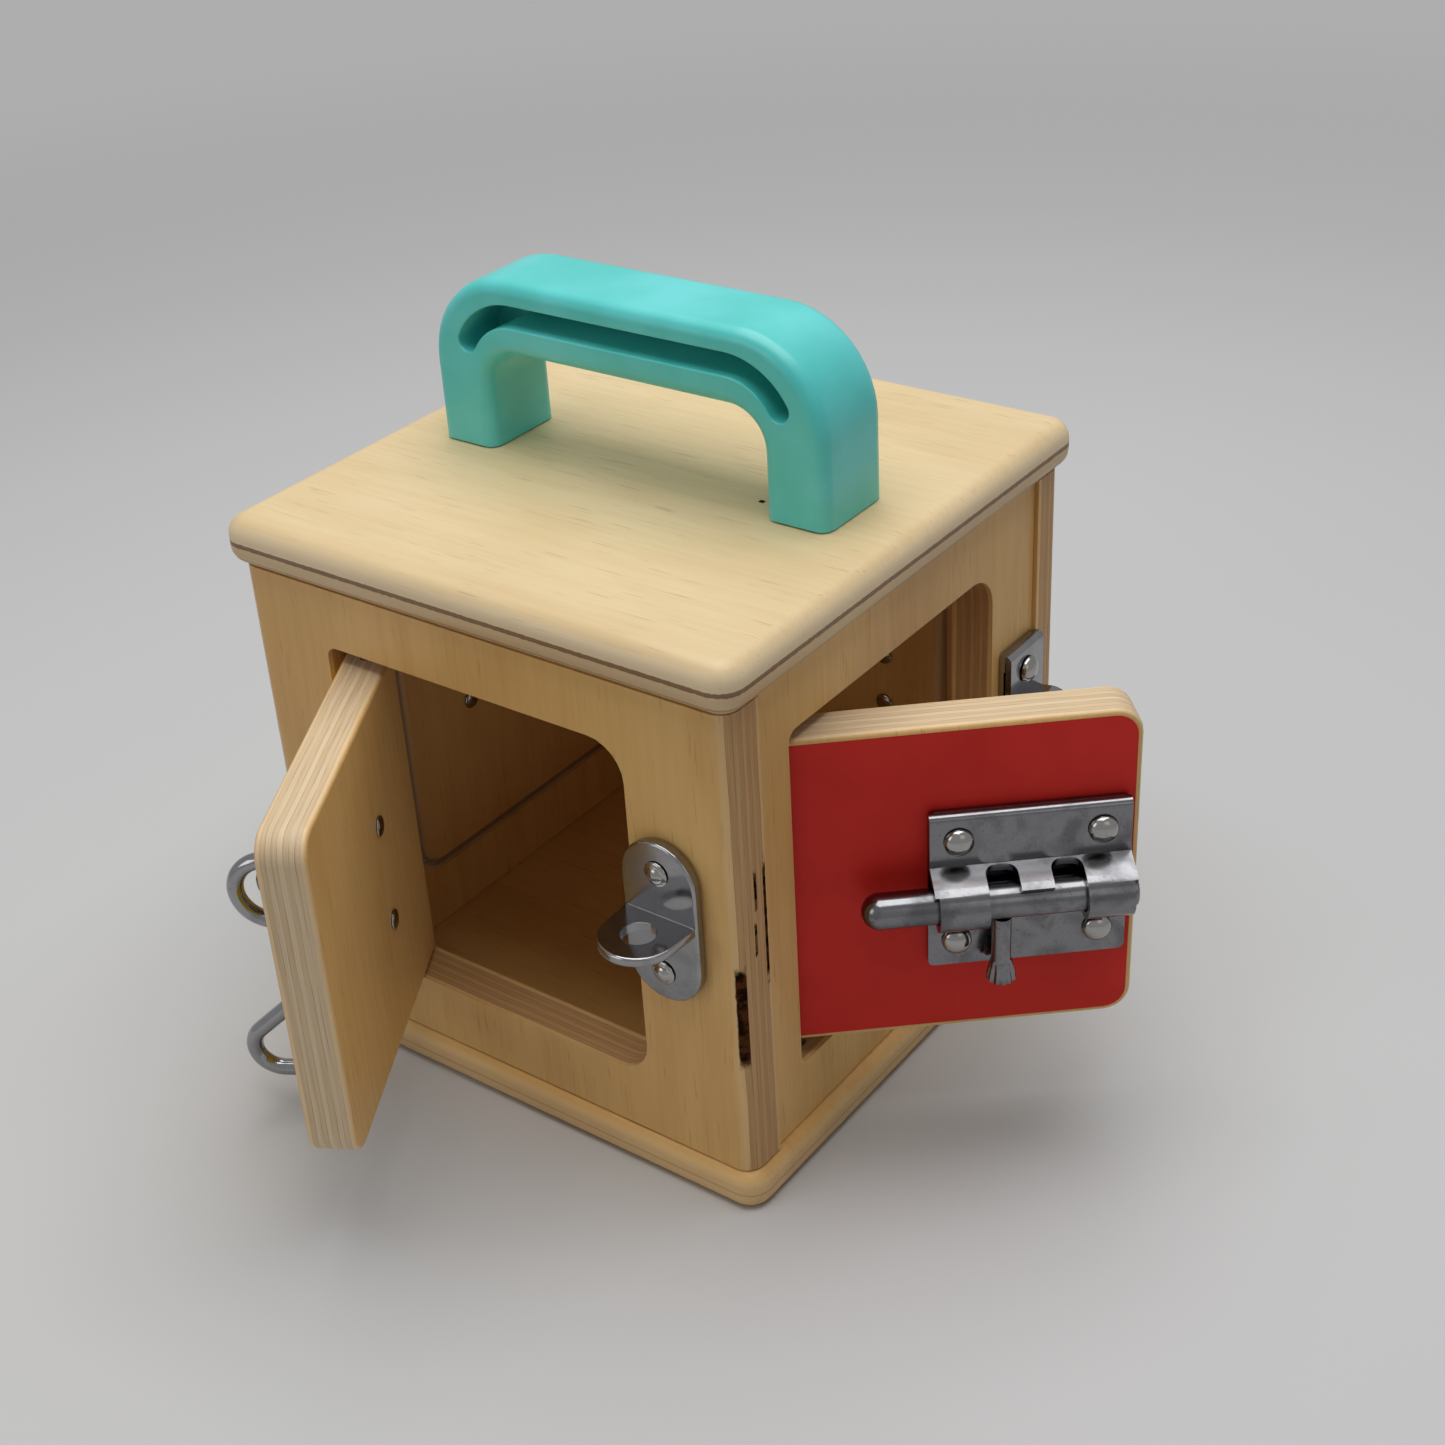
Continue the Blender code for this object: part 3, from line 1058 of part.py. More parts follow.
def add_hasp(side, panel):
    """The back door's hasp and the turning staple that its strap closes over."""
    hinge = side["hinge"]
    walls = [side["sheet_piece"], side["core"]]
    pin_out = GAP + HASP_BARREL_RADIUS
    axis = (HASP_PIN_T, -DOOR_FACE - pin_out, HASP_Z)
    half_leaf, half_strap = HASP_LEAF_HEIGHT / 2, HASP_STRAP_HEIGHT / 2
    bore_edge = HASP_PIN_RADIUS + HASP_PIN_CLEARANCE
    third = HASP_LEAF_HEIGHT / 3
    leaf_right = HASP_PIN_T - bore_edge - HASP_THICK / 4
    outline = closed_outline(
        rectangle(HASP_LEAF_LEFT, leaf_right, HASP_Z - half_leaf, HASP_Z + half_leaf),
        [HASP_CORNER_RADIUS, 0, 0, HASP_CORNER_RADIUS])
    mesh = wall_solid("hasp_leaf", [outline], DOOR_FACE + GAP, DOOR_FACE + GAP + HASP_THICK)
    leaf = piece("hasp_leaf", mesh, hinge, "chrome")
    relief = HASP_BARREL_RADIUS + HASP_KNUCKLE_GAP
    middle = third / 2 + HASP_KNUCKLE_GAP
    space = flat_solid("hasp_leaf_relief", [arc((0, 0), relief, 0, 2 * math.pi, PIN_STEPS)[:-1]],
                       -middle, middle)
    cut(leaf, guide("hasp_leaf_relief", space, hinge, axis))
    for name, low, high in (("hasp_leaf_knuckle_lower", -half_leaf, -middle),
                            ("hasp_leaf_knuckle_upper", middle, half_leaf)):
        join(leaf, guide(name, barrel(name, low, high), hinge, axis))
    for number, step in ((1, -1), (2, 1)):
        z = HASP_Z + step * HASP_RIVET_PITCH / 2
        for index, wall in enumerate([leaf] + walls):
            drill(wall, f"hasp_rivet_hole_{number}_{index}", hinge, (HASP_RIVET_T, 0, z),
                  OUTWARDS, RIVET_RADIUS + GAP, -DOOR_FACE - OVERRUN,
                  DOOR_FACE + HASP_THICK + OVERRUN)
        rivet(f"hasp_rivet_{number}", hinge, HASP_RIVET_T, z, DOOR_FACE + HASP_THICK + 2 * GAP,
              DOOR_THICK + HASP_THICK + 3 * GAP, stepped_head())
    profile = [(0, half_leaf), (HASP_PIN_RADIUS, half_leaf), (HASP_PIN_RADIUS, -half_leaf),
               (0, -half_leaf)]
    turned("hasp_pin", profile, hinge, "steel", axis, (0, 0, 0), PIN_STEPS)
    swing = empty("hasp_swing", hinge, axis, (0, 0, -HASP_OPEN_ANGLE))
    staple_reach = STAPLE_X - hinge_x(side) - HASP_PIN_T
    plate_high = GAP + STAPLE_PLATE_THICK
    strap_out = plate_high + GAP - pin_out
    strap_left = bore_edge + HASP_THICK / 4
    low, high = -half_strap, half_strap
    outline = closed_outline(
        rectangle(strap_left, staple_reach + HASP_STRAP_END, low, high),
        [HASP_CORNER_RADIUS / 3, HASP_END_RADIUS, HASP_END_RADIUS, HASP_CORNER_RADIUS / 3])
    half_slot = HASP_SLOT_WIDTH / 2
    slot = closed_outline(
        rectangle(staple_reach - half_slot, staple_reach + half_slot, -HASP_SLOT_HEIGHT / 2,
                  HASP_SLOT_HEIGHT / 2), [half_slot] * 4)
    mesh = wall_solid("hasp_strap", [outline, slot], strap_out, strap_out + HASP_THICK)
    strap = piece("hasp_strap", mesh, swing, "chrome")
    own = third / 2
    for name, start, stop in (("hasp_strap_relief_lower", low - OVERRUN, -own),
                              ("hasp_strap_relief_upper", own, high + OVERRUN)):
        space = flat_solid(name, [arc((0, 0), relief, 0, 2 * math.pi, PIN_STEPS)[:-1]], start,
                           stop)
        cut(strap, guide(name, space, swing))
    join(strap, guide("hasp_strap_knuckle", barrel("hasp_strap_knuckle", -own, own), swing))
    base = side["empty"]
    face = side["face"]
    half_width, half_height = STAPLE_PLATE_WIDTH / 2, STAPLE_PLATE_HEIGHT / 2
    outline = closed_outline(
        rectangle(STAPLE_X - half_width, STAPLE_X + half_width, HASP_Z - half_height,
                  HASP_Z + half_height), [STAPLE_PLATE_CORNER] * 4)
    mesh = wall_solid("staple_plate", [outline], face + GAP, face + GAP + STAPLE_PLATE_THICK)
    plate = piece("staple_plate", mesh, base, "chrome")
    staple_place = (STAPLE_X, -face, HASP_Z)
    drill(plate, "staple_plate_hole", base, staple_place, OUTWARDS, STAPLE_NECK_RADIUS + GAP,
          -OVERRUN, plate_high + OVERRUN)
    drill(panel, "staple_foot_hole", base, staple_place, OUTWARDS, STAPLE_FOOT_RADIUS + GAP,
          -STAPLE_FOOT - 2 * GAP, OVERRUN / 2)
    pitch = STAPLE_SCREW_PITCH / 2
    add_plate_screws("staple_screw", plate, base,
                     [(STAPLE_X, HASP_Z - pitch), (STAPLE_X, HASP_Z + pitch)], face, [panel],
                     (SMALL_SCREW_HEAD_RADIUS, SMALL_SCREW_HEAD, SMALL_SCREW_RADIUS,
                      SMALL_SCREW_BITE, plate_high))
    head_low = plate_high + HASP_THICK + 3 * GAP
    neck_top = head_low + STAPLE_HEAD_THICK / 2
    profile = [(0, neck_top), (STAPLE_NECK_RADIUS, neck_top), (STAPLE_NECK_RADIUS, 0),
               (STAPLE_FOOT_RADIUS, 0), (STAPLE_FOOT_RADIUS, -STAPLE_FOOT), (0, -STAPLE_FOOT)]
    turn = empty("staple_turn", base, staple_place)
    staple = turned("staple", profile, turn, "chrome", (0, 0, 0), OUTWARDS, PIN_STEPS)
    half_head = STAPLE_HEAD_WIDTH / 2
    outline = closed_outline(
        rectangle(-half_head, half_head, -STAPLE_HEAD_HEIGHT / 2, STAPLE_HEAD_HEIGHT / 2),
        [half_head] * 4)
    head = wall_solid("staple_head", [outline], head_low, head_low + STAPLE_HEAD_THICK)
    join(staple, guide("staple_head", head, turn))


clear_scene()
PARTS = collection("wooden_latch_box")
CUTTERS = collection("cutters")
add_base_and_lid()
add_handle()
PANELS = {}
for wall_side in SIDES:
    wall_side["empty"] = empty(f"{wall_side['name']}_side", None, (0, 0, 0),
                               (0, 0, wall_side["turn"] * math.pi / 2))
    PANELS[wall_side["name"]] = add_panel(wall_side)
    add_door(wall_side)
FRONT, RIGHT, BACK, LEFT = SIDES
add_bracket("catch_bracket", FRONT["empty"], CATCH_X, CATCH_Z, FRONT["face"], [PANELS["front"]],
            WALL_THICK, True)
add_bracket("hook_bracket", FRONT["hinge"], HOOK_BRACKET_T, HOOK_BRACKET_Z, DOOR_FACE,
            [FRONT["sheet_piece"], FRONT["core"]], DOOR_THICK, False)
add_hook(FRONT)
add_bolt(RIGHT)
add_keeper(RIGHT, PANELS["right"])
add_swing_bar(LEFT, PANELS["left"])
add_hasp(BACK, PANELS["back"])
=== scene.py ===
"""Wooden latch box: finishes, refined metalwork, floor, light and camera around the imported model."""
import math

import bmesh
import bpy
from mathutils import Matrix, Vector


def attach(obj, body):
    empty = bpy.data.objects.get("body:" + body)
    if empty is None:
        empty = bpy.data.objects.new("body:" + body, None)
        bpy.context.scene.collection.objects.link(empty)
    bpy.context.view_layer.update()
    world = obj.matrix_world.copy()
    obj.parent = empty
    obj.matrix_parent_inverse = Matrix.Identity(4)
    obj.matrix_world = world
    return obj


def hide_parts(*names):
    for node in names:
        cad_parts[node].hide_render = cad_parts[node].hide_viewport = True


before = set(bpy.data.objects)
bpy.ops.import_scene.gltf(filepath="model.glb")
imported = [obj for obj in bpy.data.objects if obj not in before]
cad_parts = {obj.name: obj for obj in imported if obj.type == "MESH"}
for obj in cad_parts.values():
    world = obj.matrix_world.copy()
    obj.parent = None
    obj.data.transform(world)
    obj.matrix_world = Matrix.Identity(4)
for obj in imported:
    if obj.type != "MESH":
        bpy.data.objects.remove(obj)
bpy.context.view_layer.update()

# Sizes shared with the part, in metres
WALL_TOP = 0.1356
LID_THICK = 0.0123
BASE_THICK = 0.0101
WALL_THICK = 0.0116
DOOR_FACE = 0.0058
BOLT_HEIGHT = 0.073
BOLT_AXIS_OUT = 0.013
HOOK_EYE_RADIUS = 0.0088
HOOK_WIRE_RADIUS = 0.0021
LID_TOP = WALL_TOP + LID_THICK
WALL_MIDDLE = 0.073
DOOR_MIDDLE = 0.072
PLIES = 9

# Joining, easing and shading of the meshes
MERGE_DISTANCE = 0.000002
FLAT_ANGLE = math.radians(0.5)
SMOOTH_ANGLE = math.radians(38)
WIRE_STEPS = 6

# Grain and wear: noise scales along the grain, across it and through the board
BROAD_FIGURE = (9, 55, 55)
STREAKS = (32, 620, 620)
FINE_GRAIN = (120, 2600, 2600)
CLOUDS = (22, 26, 26)
FLECKS = (75, 1500, 1500)
PLY_WAVE = (24, 24, 24)
PLY_WAVE_DEPTH = 0.0009
EDGE_LINES = (45, 45, 3800)
GLUE_BREAKS = (70, 70, 400)
RAGGED_RIM = (900, 900, 500)
VOID_BLOTCHES = (260, 260, 420)
SMEARS = (130, 130, 130)
SCRATCHES = (420, 5200, 1300)
PITS = (2600, 2600, 2600)
MOTTLING = (45, 45, 45)
HANDLING_MARKS = (900, 260, 120)

# The plywood's sheen, how ragged its brown lines are, and how deep each finish's relief is
PLY_SHINE = 0.4
SEAM_RAGGEDNESS = 0.6
PLY_RELIEF = 0.00025
PLATING_RELIEF = 0.0001
FILM_RELIEF = 0.0002

# Where the four walls and the four doors are: x runs to the right seen from outside, -y outwards
WALLS = {
    "front": Matrix.Rotation(0, 4, "Z"),
    "right": Matrix.Rotation(math.pi / 2, 4, "Z"),
    "back": Matrix.Rotation(math.pi, 4, "Z"),
    "left": Matrix.Rotation(-math.pi / 2, 4, "Z"),
}
FRONT_FACE = 0.072
SIDE_FACE = 0.071
WALL_FACES = {"front": FRONT_FACE, "right": SIDE_FACE, "back": FRONT_FACE,
              "left": SIDE_FACE}

# Each door's hinge line, x and y, and how far it stands open, in degrees
HINGES = {
    "front": (-0.0391, -0.0662, 60.2),
    "right": (-0.042, -0.0652, 49.0),
    "back": (-0.0391, -0.0662, 0),
    "left": (-0.042, -0.0652, 0),
}
DOORS = {}
for side, (hinge_x, hinge_y, opened) in HINGES.items():
    DOORS[side] = (WALLS[side] @ Matrix.Translation((hinge_x, hinge_y, 0))
                   @ Matrix.Rotation(-math.radians(opened), 4, "Z"))

# Colours, linear
BIRCH_PALE = (0.80, 0.62, 0.36, 1)
BIRCH_WARM = (0.66, 0.46, 0.23, 1)
BIRCH_PORE = (0.34, 0.19, 0.08, 1)
PLY_LIGHT = (0.76, 0.60, 0.40, 1)
PLY_DARK = (0.58, 0.40, 0.215, 1)
GLUE_LINE = (0.26, 0.14, 0.06, 1)
SANDED = (0.85, 0.69, 0.47, 1)
# The golden and browned tints are painted shade on the walls, doors and base, the same birch as the
# lid but less lit.
SHADE_GOLDEN = (0.97, 0.78, 0.49, 1)
SHADE_BROWNED = (0.80, 0.62, 0.42, 1)
# The tan is painted shade on the lower part of the lid's edge.
SHADE_TAN = (0.58, 0.40, 0.20, 1)
SEAM_BROWN = (0.20, 0.095, 0.035, 1)
PLAIN = (1, 1, 1, 1)
# The void colours are partly the voids' own brown and partly painted shade in their hollows; the
# darkest is also the lid speck's colour.
SPECK_AND_VOID_SHADE = (0.016, 0.006, 0.003, 1)
VOID_BROWN_AND_SHADE = (0.085, 0.030, 0.010, 1)
VOID_PALE_AND_SHADE = (0.17, 0.085, 0.035, 1)
TEAL = (0.075, 0.60, 0.56, 1)
TEAL_LIGHT = (0.13, 0.69, 0.68, 1)
# The plate chrome is lighter than the bolt's as painted reflection of the golden wood around the
# brackets and hook.
CHROME = (0.34, 0.34, 0.35, 1)
CHROME_DULL = (0.22, 0.22, 0.225, 1)
# The bolt's chrome is darker than the rest as painted reflection of dark surroundings, besides its
# wear.
BOLT_CHROME_DARK_REFLECTION = (0.22, 0.22, 0.23, 1)
BOLT_DULL_DARK_REFLECTION = (0.11, 0.11, 0.115, 1)
HEAD_CHROME = (0.40, 0.39, 0.37, 1)
STEEL = (0.40, 0.40, 0.41, 1)
STEEL_DULL = (0.26, 0.25, 0.24, 1)
FLOOR_GREY = (0.62, 0.62, 0.62, 1)
BACKDROP_GREY = (0.42, 0.42, 0.425, 1)
SKY_LOW = (0.16, 0.16, 0.17, 1)
SKY_HIGH = (0.62, 0.62, 0.63, 1)
SHEET_COLOURS = {
    "front": (0.80, 0.50, 0.03, 1),
    "right": (0.62, 0.022, 0.014, 1),
    "back": (0.02, 0.16, 0.50, 1),
    "left": (0.06, 0.38, 0.10, 1),
}


# Shader nodes

def feed(tree, socket, value):
    """Links a socket to an input, or sets a plain value on it."""
    if isinstance(value, bpy.types.NodeSocket):
        tree.links.new(value, socket)
    else:
        socket.default_value = value


def add(tree, kind, inputs=(), **settings):
    """A node with its settings, and its inputs given as values or as sockets to link."""
    made = tree.nodes.new(kind)
    for key, value in settings.items():
        setattr(made, key, value)
    for key, value in dict(inputs).items():
        feed(tree, made.inputs[key], value)
    return made


def maths(tree, operation, first, second=0.0):
    made = add(tree, "ShaderNodeMath", {0: first, 1: second}, operation=operation)
    return made.outputs[0]


def vectors(tree, operation, first, second=(0, 0, 0)):
    made = add(tree, "ShaderNodeVectorMath", {0: first, 1: second}, operation=operation)
    return made.outputs[0]


def ramp(tree, value, low, high, low_out=0.0, high_out=1.0):
    """A value carried smoothly from one range to another."""
    made = add(tree, "ShaderNodeMapRange",
               {"Value": value, "From Min": low, "From Max": high, "To Min": low_out,
                "To Max": high_out}, interpolation_type="SMOOTHSTEP")
    return made.outputs[0]


def mixed(tree, factor, first, second, blend="MIX"):
    """Two colours mixed: a Mix node has its colours on inputs 6 and 7, and the result on output 2."""
    made = add(tree, "ShaderNodeMix", data_type="RGBA", blend_type=blend, clamp_factor=True)
    for place, value in ((0, factor), (6, first), (7, second)):
        feed(tree, made.inputs[place], value)
    return made.outputs[2]


def noise(tree, place, scale, detail=2.0, distortion=0.0):
    """Noise whose grain is stretched by a different scale along each axis."""
    stretched = vectors(tree, "MULTIPLY", place, scale)
    made = add(tree, "ShaderNodeTexNoise",
               {"Vector": stretched, "Scale": 1.0, "Detail": detail, "Distortion": distortion})
    return made.outputs["Fac"]


def group_tree(name, inputs, outputs):
    """A shader node group with its named sockets."""
    tree = bpy.data.node_groups.new(name, "ShaderNodeTree")
    for label, kind, value in inputs:
        socket = tree.interface.new_socket(name=label, in_out="INPUT", socket_type=kind)
        if value is not None:
            socket.default_value = value
    for label, kind in outputs:
        tree.interface.new_socket(name=label, in_out="OUTPUT", socket_type=kind)
    return tree, tree.nodes.new("NodeGroupInput"), tree.nodes.new("NodeGroupOutput")


FINISH_OUTPUTS = (("Color", "NodeSocketColor"), ("Roughness", "NodeSocketFloat"),
                  ("Height", "NodeSocketFloat"))


def put_out(tree, result, colour, roughness, height):
    """A finish's three maps, led out of its group."""
    for label, value in (("Color", colour), ("Roughness", roughness), ("Height", height)):
        tree.links.new(value, result.inputs[label])


def birch_ply_group():
    """Birch plywood: X along the face grain, Z through the plies, zero at half the thickness."""
    tree, given, result = group_tree(
        "birch_ply",
        (("Place", "NodeSocketVector", None), ("Half Thickness", "NodeSocketFloat", 0.006),
         ("Plies", "NodeSocketFloat", 9.0), ("Shift", "NodeSocketVector", None),
         ("Figure", "NodeSocketFloat", 0.5), ("Sanded Edge", "NodeSocketFloat", 0.3),
         ("Face Shade Tint", "NodeSocketColor", PLAIN), ("Edge Tint", "NodeSocketColor", PLAIN)),
        FINISH_OUTPUTS)
    place = given.outputs["Place"]
    spot = vectors(tree, "ADD", place, given.outputs["Shift"])
    # face grain
    broad = noise(tree, spot, BROAD_FIGURE, 3.0, 0.9)
    streak = noise(tree, spot, STREAKS, 2.0, 0.2)
    fine = noise(tree, spot, FINE_GRAIN, 1.0)
    cloud = noise(tree, spot, CLOUDS)
    figure = maths(tree, "MULTIPLY", ramp(tree, broad, 0.35, 0.68), given.outputs["Figure"])
    figure = maths(tree, "ADD", figure, ramp(tree, streak, 0.35, 0.75, 0.0, 0.22))
    figure = maths(tree, "ADD", figure, ramp(tree, cloud, 0.4, 0.7, 0.0, 0.16))
    face = mixed(tree, figure, BIRCH_PALE, BIRCH_WARM)
    fleck = noise(tree, spot, FLECKS, 1.0)
    pores = ramp(tree, fleck, 0.66, 0.74, 0.0, 0.30)
    face = mixed(tree, pores, face, BIRCH_PORE)
    # the face tint multiplies in painted shade on boards less lit than the lid
    face = mixed(tree, 1.0, face, given.outputs["Face Shade Tint"], "MULTIPLY")
    # plies seen on the edges
    depth = add(tree, "ShaderNodeSeparateXYZ", {0: place}).outputs[2]
    wave = maths(tree, "SUBTRACT", noise(tree, spot, PLY_WAVE), 0.5)
    wave = maths(tree, "MULTIPLY", wave, PLY_WAVE_DEPTH)
    depth = maths(tree, "ADD", depth, wave)
    level = maths(tree, "DIVIDE", depth, given.outputs["Half Thickness"])
    level = maths(tree, "MULTIPLY", maths(tree, "ADD", level, 1.0), 0.5)
    level = maths(tree, "MULTIPLY", level, given.outputs["Plies"])
    ply = maths(tree, "FLOOR", level)
    within = maths(tree, "FRACT", level)
    cross = maths(tree, "MODULO", maths(tree, "ABSOLUTE", ply), 2.0)
    lines = noise(tree, spot, EDGE_LINES)
    shade = add(tree, "ShaderNodeTexWhiteNoise", {"W": ply}, noise_dimensions="1D").outputs[0]
    tone = maths(tree, "ADD", maths(tree, "MULTIPLY", cross, 0.36),
                 ramp(tree, lines, 0.3, 0.7, -0.16, 0.30))
    tone = maths(tree, "ADD", tone, maths(tree, "MULTIPLY", shade, 0.22))
    edge = mixed(tree, tone, PLY_LIGHT, PLY_DARK)
    nearest = maths(tree, "MINIMUM", within, maths(tree, "SUBTRACT", 1.0, within))
    glue = ramp(tree, nearest, 0.02, 0.13, 0.5, 0.0)
    broken = ramp(tree, noise(tree, spot, GLUE_BREAKS), 0.38, 0.62, 0.25, 1.0)
    edge = mixed(tree, maths(tree, "MULTIPLY", glue, broken), edge, GLUE_LINE)
    # the edge tint multiplies in painted shade on the edges of less-lit boards
    edge = mixed(tree, 1.0, edge, given.outputs["Edge Tint"], "MULTIPLY")
    # the two outer plies carry the face
    last = maths(tree, "SUBTRACT", given.outputs["Plies"], 1.0)
    outside = maths(tree, "MAXIMUM", maths(tree, "LESS_THAN", level, 1.0),
                    maths(tree, "GREATER_THAN", level, last))
    from_face = maths(tree, "MINIMUM", level, maths(tree, "SUBTRACT", given.outputs["Plies"],
                                                    level))
    sanded = ramp(tree, from_face, 0.12, 0.5)
    sanded = maths(tree, "MULTIPLY", sanded, given.outputs["Sanded Edge"])
    face = mixed(tree, sanded, face, SANDED)
    colour = mixed(tree, outside, edge, face)
    roughness = ramp(tree, streak, 0.2, 0.8, 0.36, 0.50)
    inside = maths(tree, "SUBTRACT", 1.0, outside)
    roughness = maths(tree, "ADD", roughness, maths(tree, "MULTIPLY", inside, 0.14))
    height = maths(tree, "SUBTRACT", maths(tree, "MULTIPLY", fine, 0.35),
                   maths(tree, "MULTIPLY", pores, 1.5))
    height = maths(tree, "ADD", height, maths(tree, "MULTIPLY", lines, 0.25))
    scored = maths(tree, "MULTIPLY", maths(tree, "MULTIPLY", glue, broken), inside)
    height = maths(tree, "SUBTRACT", height, scored)
    put_out(tree, result, colour, roughness, height)
    return tree


def patch_group():
    """A small rough-edged block of the surface, such as a void or a speck."""
    tree, given, result = group_tree(
        "patch",
        (("Place", "NodeSocketVector", None), ("Centre", "NodeSocketVector", None),
         ("Half Size", "NodeSocketVector", (0.001, 0.001, 0.001)),
         ("Raggedness", "NodeSocketFloat", 0.4)),
        (("Mask", "NodeSocketFloat"),))
    offset = vectors(tree, "SUBTRACT", given.outputs["Place"], given.outputs["Centre"])
    offset = vectors(tree, "DIVIDE", vectors(tree, "ABSOLUTE", offset),
                     given.outputs["Half Size"])
    parts = add(tree, "ShaderNodeSeparateXYZ", {0: offset})
    furthest = maths(tree, "MAXIMUM", parts.outputs[0],
                     maths(tree, "MAXIMUM", parts.outputs[1], parts.outputs[2]))
    rough = maths(tree, "SUBTRACT", noise(tree, given.outputs["Place"], RAGGED_RIM), 0.5)
    rough = maths(tree, "MULTIPLY", rough, given.outputs["Raggedness"])
    mask = ramp(tree, maths(tree, "ADD", furthest, rough), 0.85, 1.05, 1.0, 0.0)
    tree.links.new(mask, result.inputs["Mask"])
    return tree


def plating_group():
    """Bright plating: faint smears, fine scratches and pits."""
    tree, given, result = group_tree(
        "plating",
        (("Place", "NodeSocketVector", None), ("Bright", "NodeSocketColor", CHROME),
         ("Dull", "NodeSocketColor", CHROME_DULL), ("Polish", "NodeSocketFloat", 0.12),
         ("Wear", "NodeSocketFloat", 0.5)),
        FINISH_OUTPUTS)
    place = given.outputs["Place"]
    smear = ramp(tree, noise(tree, place, SMEARS, 3.0, 0.6), 0.42, 0.72)
    scratch = ramp(tree, noise(tree, place, SCRATCHES, 1.0), 0.64, 0.72)
    pits = ramp(tree, noise(tree, place, PITS, 1.0), 0.70, 0.78)
    worn = maths(tree, "MULTIPLY", maths(tree, "ADD", smear, scratch), given.outputs["Wear"])
    colour = mixed(tree, worn, given.outputs["Bright"], given.outputs["Dull"])
    roughness = maths(tree, "ADD", given.outputs["Polish"], maths(tree, "MULTIPLY", worn, 0.13))
    height = maths(tree, "ADD", maths(tree, "MULTIPLY", smear, 0.15),
                   maths(tree, "ADD", maths(tree, "MULTIPLY", scratch, -0.15),
                         maths(tree, "MULTIPLY", pits, -0.4)))
    put_out(tree, result, colour, roughness, height)
    return tree


def film_group():
    """A coloured film or moulded skin: faint mottling, orange peel and handling marks."""
    tree, given, result = group_tree(
        "film",
        (("Place", "NodeSocketVector", None), ("Base", "NodeSocketColor", TEAL),
         ("Lighter", "NodeSocketColor", TEAL_LIGHT), ("Peel", "NodeSocketFloat", 400.0),
         ("Gloss", "NodeSocketFloat", 0.3)),
        FINISH_OUTPUTS)
    place = given.outputs["Place"]
    mottle = ramp(tree, noise(tree, place, MOTTLING, 3.0), 0.3, 0.75)
    colour = mixed(tree, mottle, given.outputs["Base"], given.outputs["Lighter"])
    marks = ramp(tree, noise(tree, place, HANDLING_MARKS, 2.0, 0.4), 0.66, 0.76)
    scale = add(tree, "ShaderNodeCombineXYZ",
                {axis: given.outputs["Peel"] for axis in range(3)}).outputs[0]
    peel = noise(tree, place, scale)
    roughness = maths(tree, "ADD", given.outputs["Gloss"], maths(tree, "MULTIPLY", marks, 0.10))
    roughness = maths(tree, "ADD", roughness, maths(tree, "MULTIPLY", mottle, 0.05))
    height = maths(tree, "ADD", maths(tree, "MULTIPLY", peel, 0.5),
                   maths(tree, "MULTIPLY", marks, 0.12))
    put_out(tree, result, colour, roughness, height)
    return tree


GROUPS = {"birch_ply": birch_ply_group(), "patch": patch_group(), "plating": plating_group(),
          "film": film_group()}


def grouped(tree, name, inputs):
    made = tree.nodes.new("ShaderNodeGroup")
    made.node_tree = GROUPS[name]
    for key, value in inputs.items():
        feed(tree, made.inputs[key], value)
    return made


def new_material(name, colour, **constants):
    """A material with its Principled shader, and the shader's constants set on its own sockets."""
    made = bpy.data.materials.new(name)
    made.use_nodes = True
    made.diffuse_color = colour
    shader = made.node_tree.nodes["Principled BSDF"]
    for key, value in constants.items():
        shader.inputs[key.replace("_", " ")].default_value = value
    return made, made.node_tree, shader


def object_place(tree, place=None):
    """Object coordinates, turned and centred on a piece by a Mapping node."""
    source = add(tree, "ShaderNodeTexCoord").outputs["Object"]
    inverse = (place or Matrix.Identity(4)).inverted()
    made = add(tree, "ShaderNodeMapping",
               {"Vector": source, "Location": inverse.translation,
                "Rotation": inverse.to_euler()}, vector_type="POINT")
    return made.outputs[0]


def surface(tree, shader, colour, roughness, height, strength, relief):
    """Leads a finish's maps into its shader, the height through a Bump node."""
    tree.links.new(colour, shader.inputs["Base Color"])
    tree.links.new(roughness, shader.inputs["Roughness"])
    bump = add(tree, "ShaderNodeBump", {"Height": height, "Strength": strength,
                                        "Distance": relief})
    tree.links.new(bump.outputs[0], shader.inputs["Normal"])


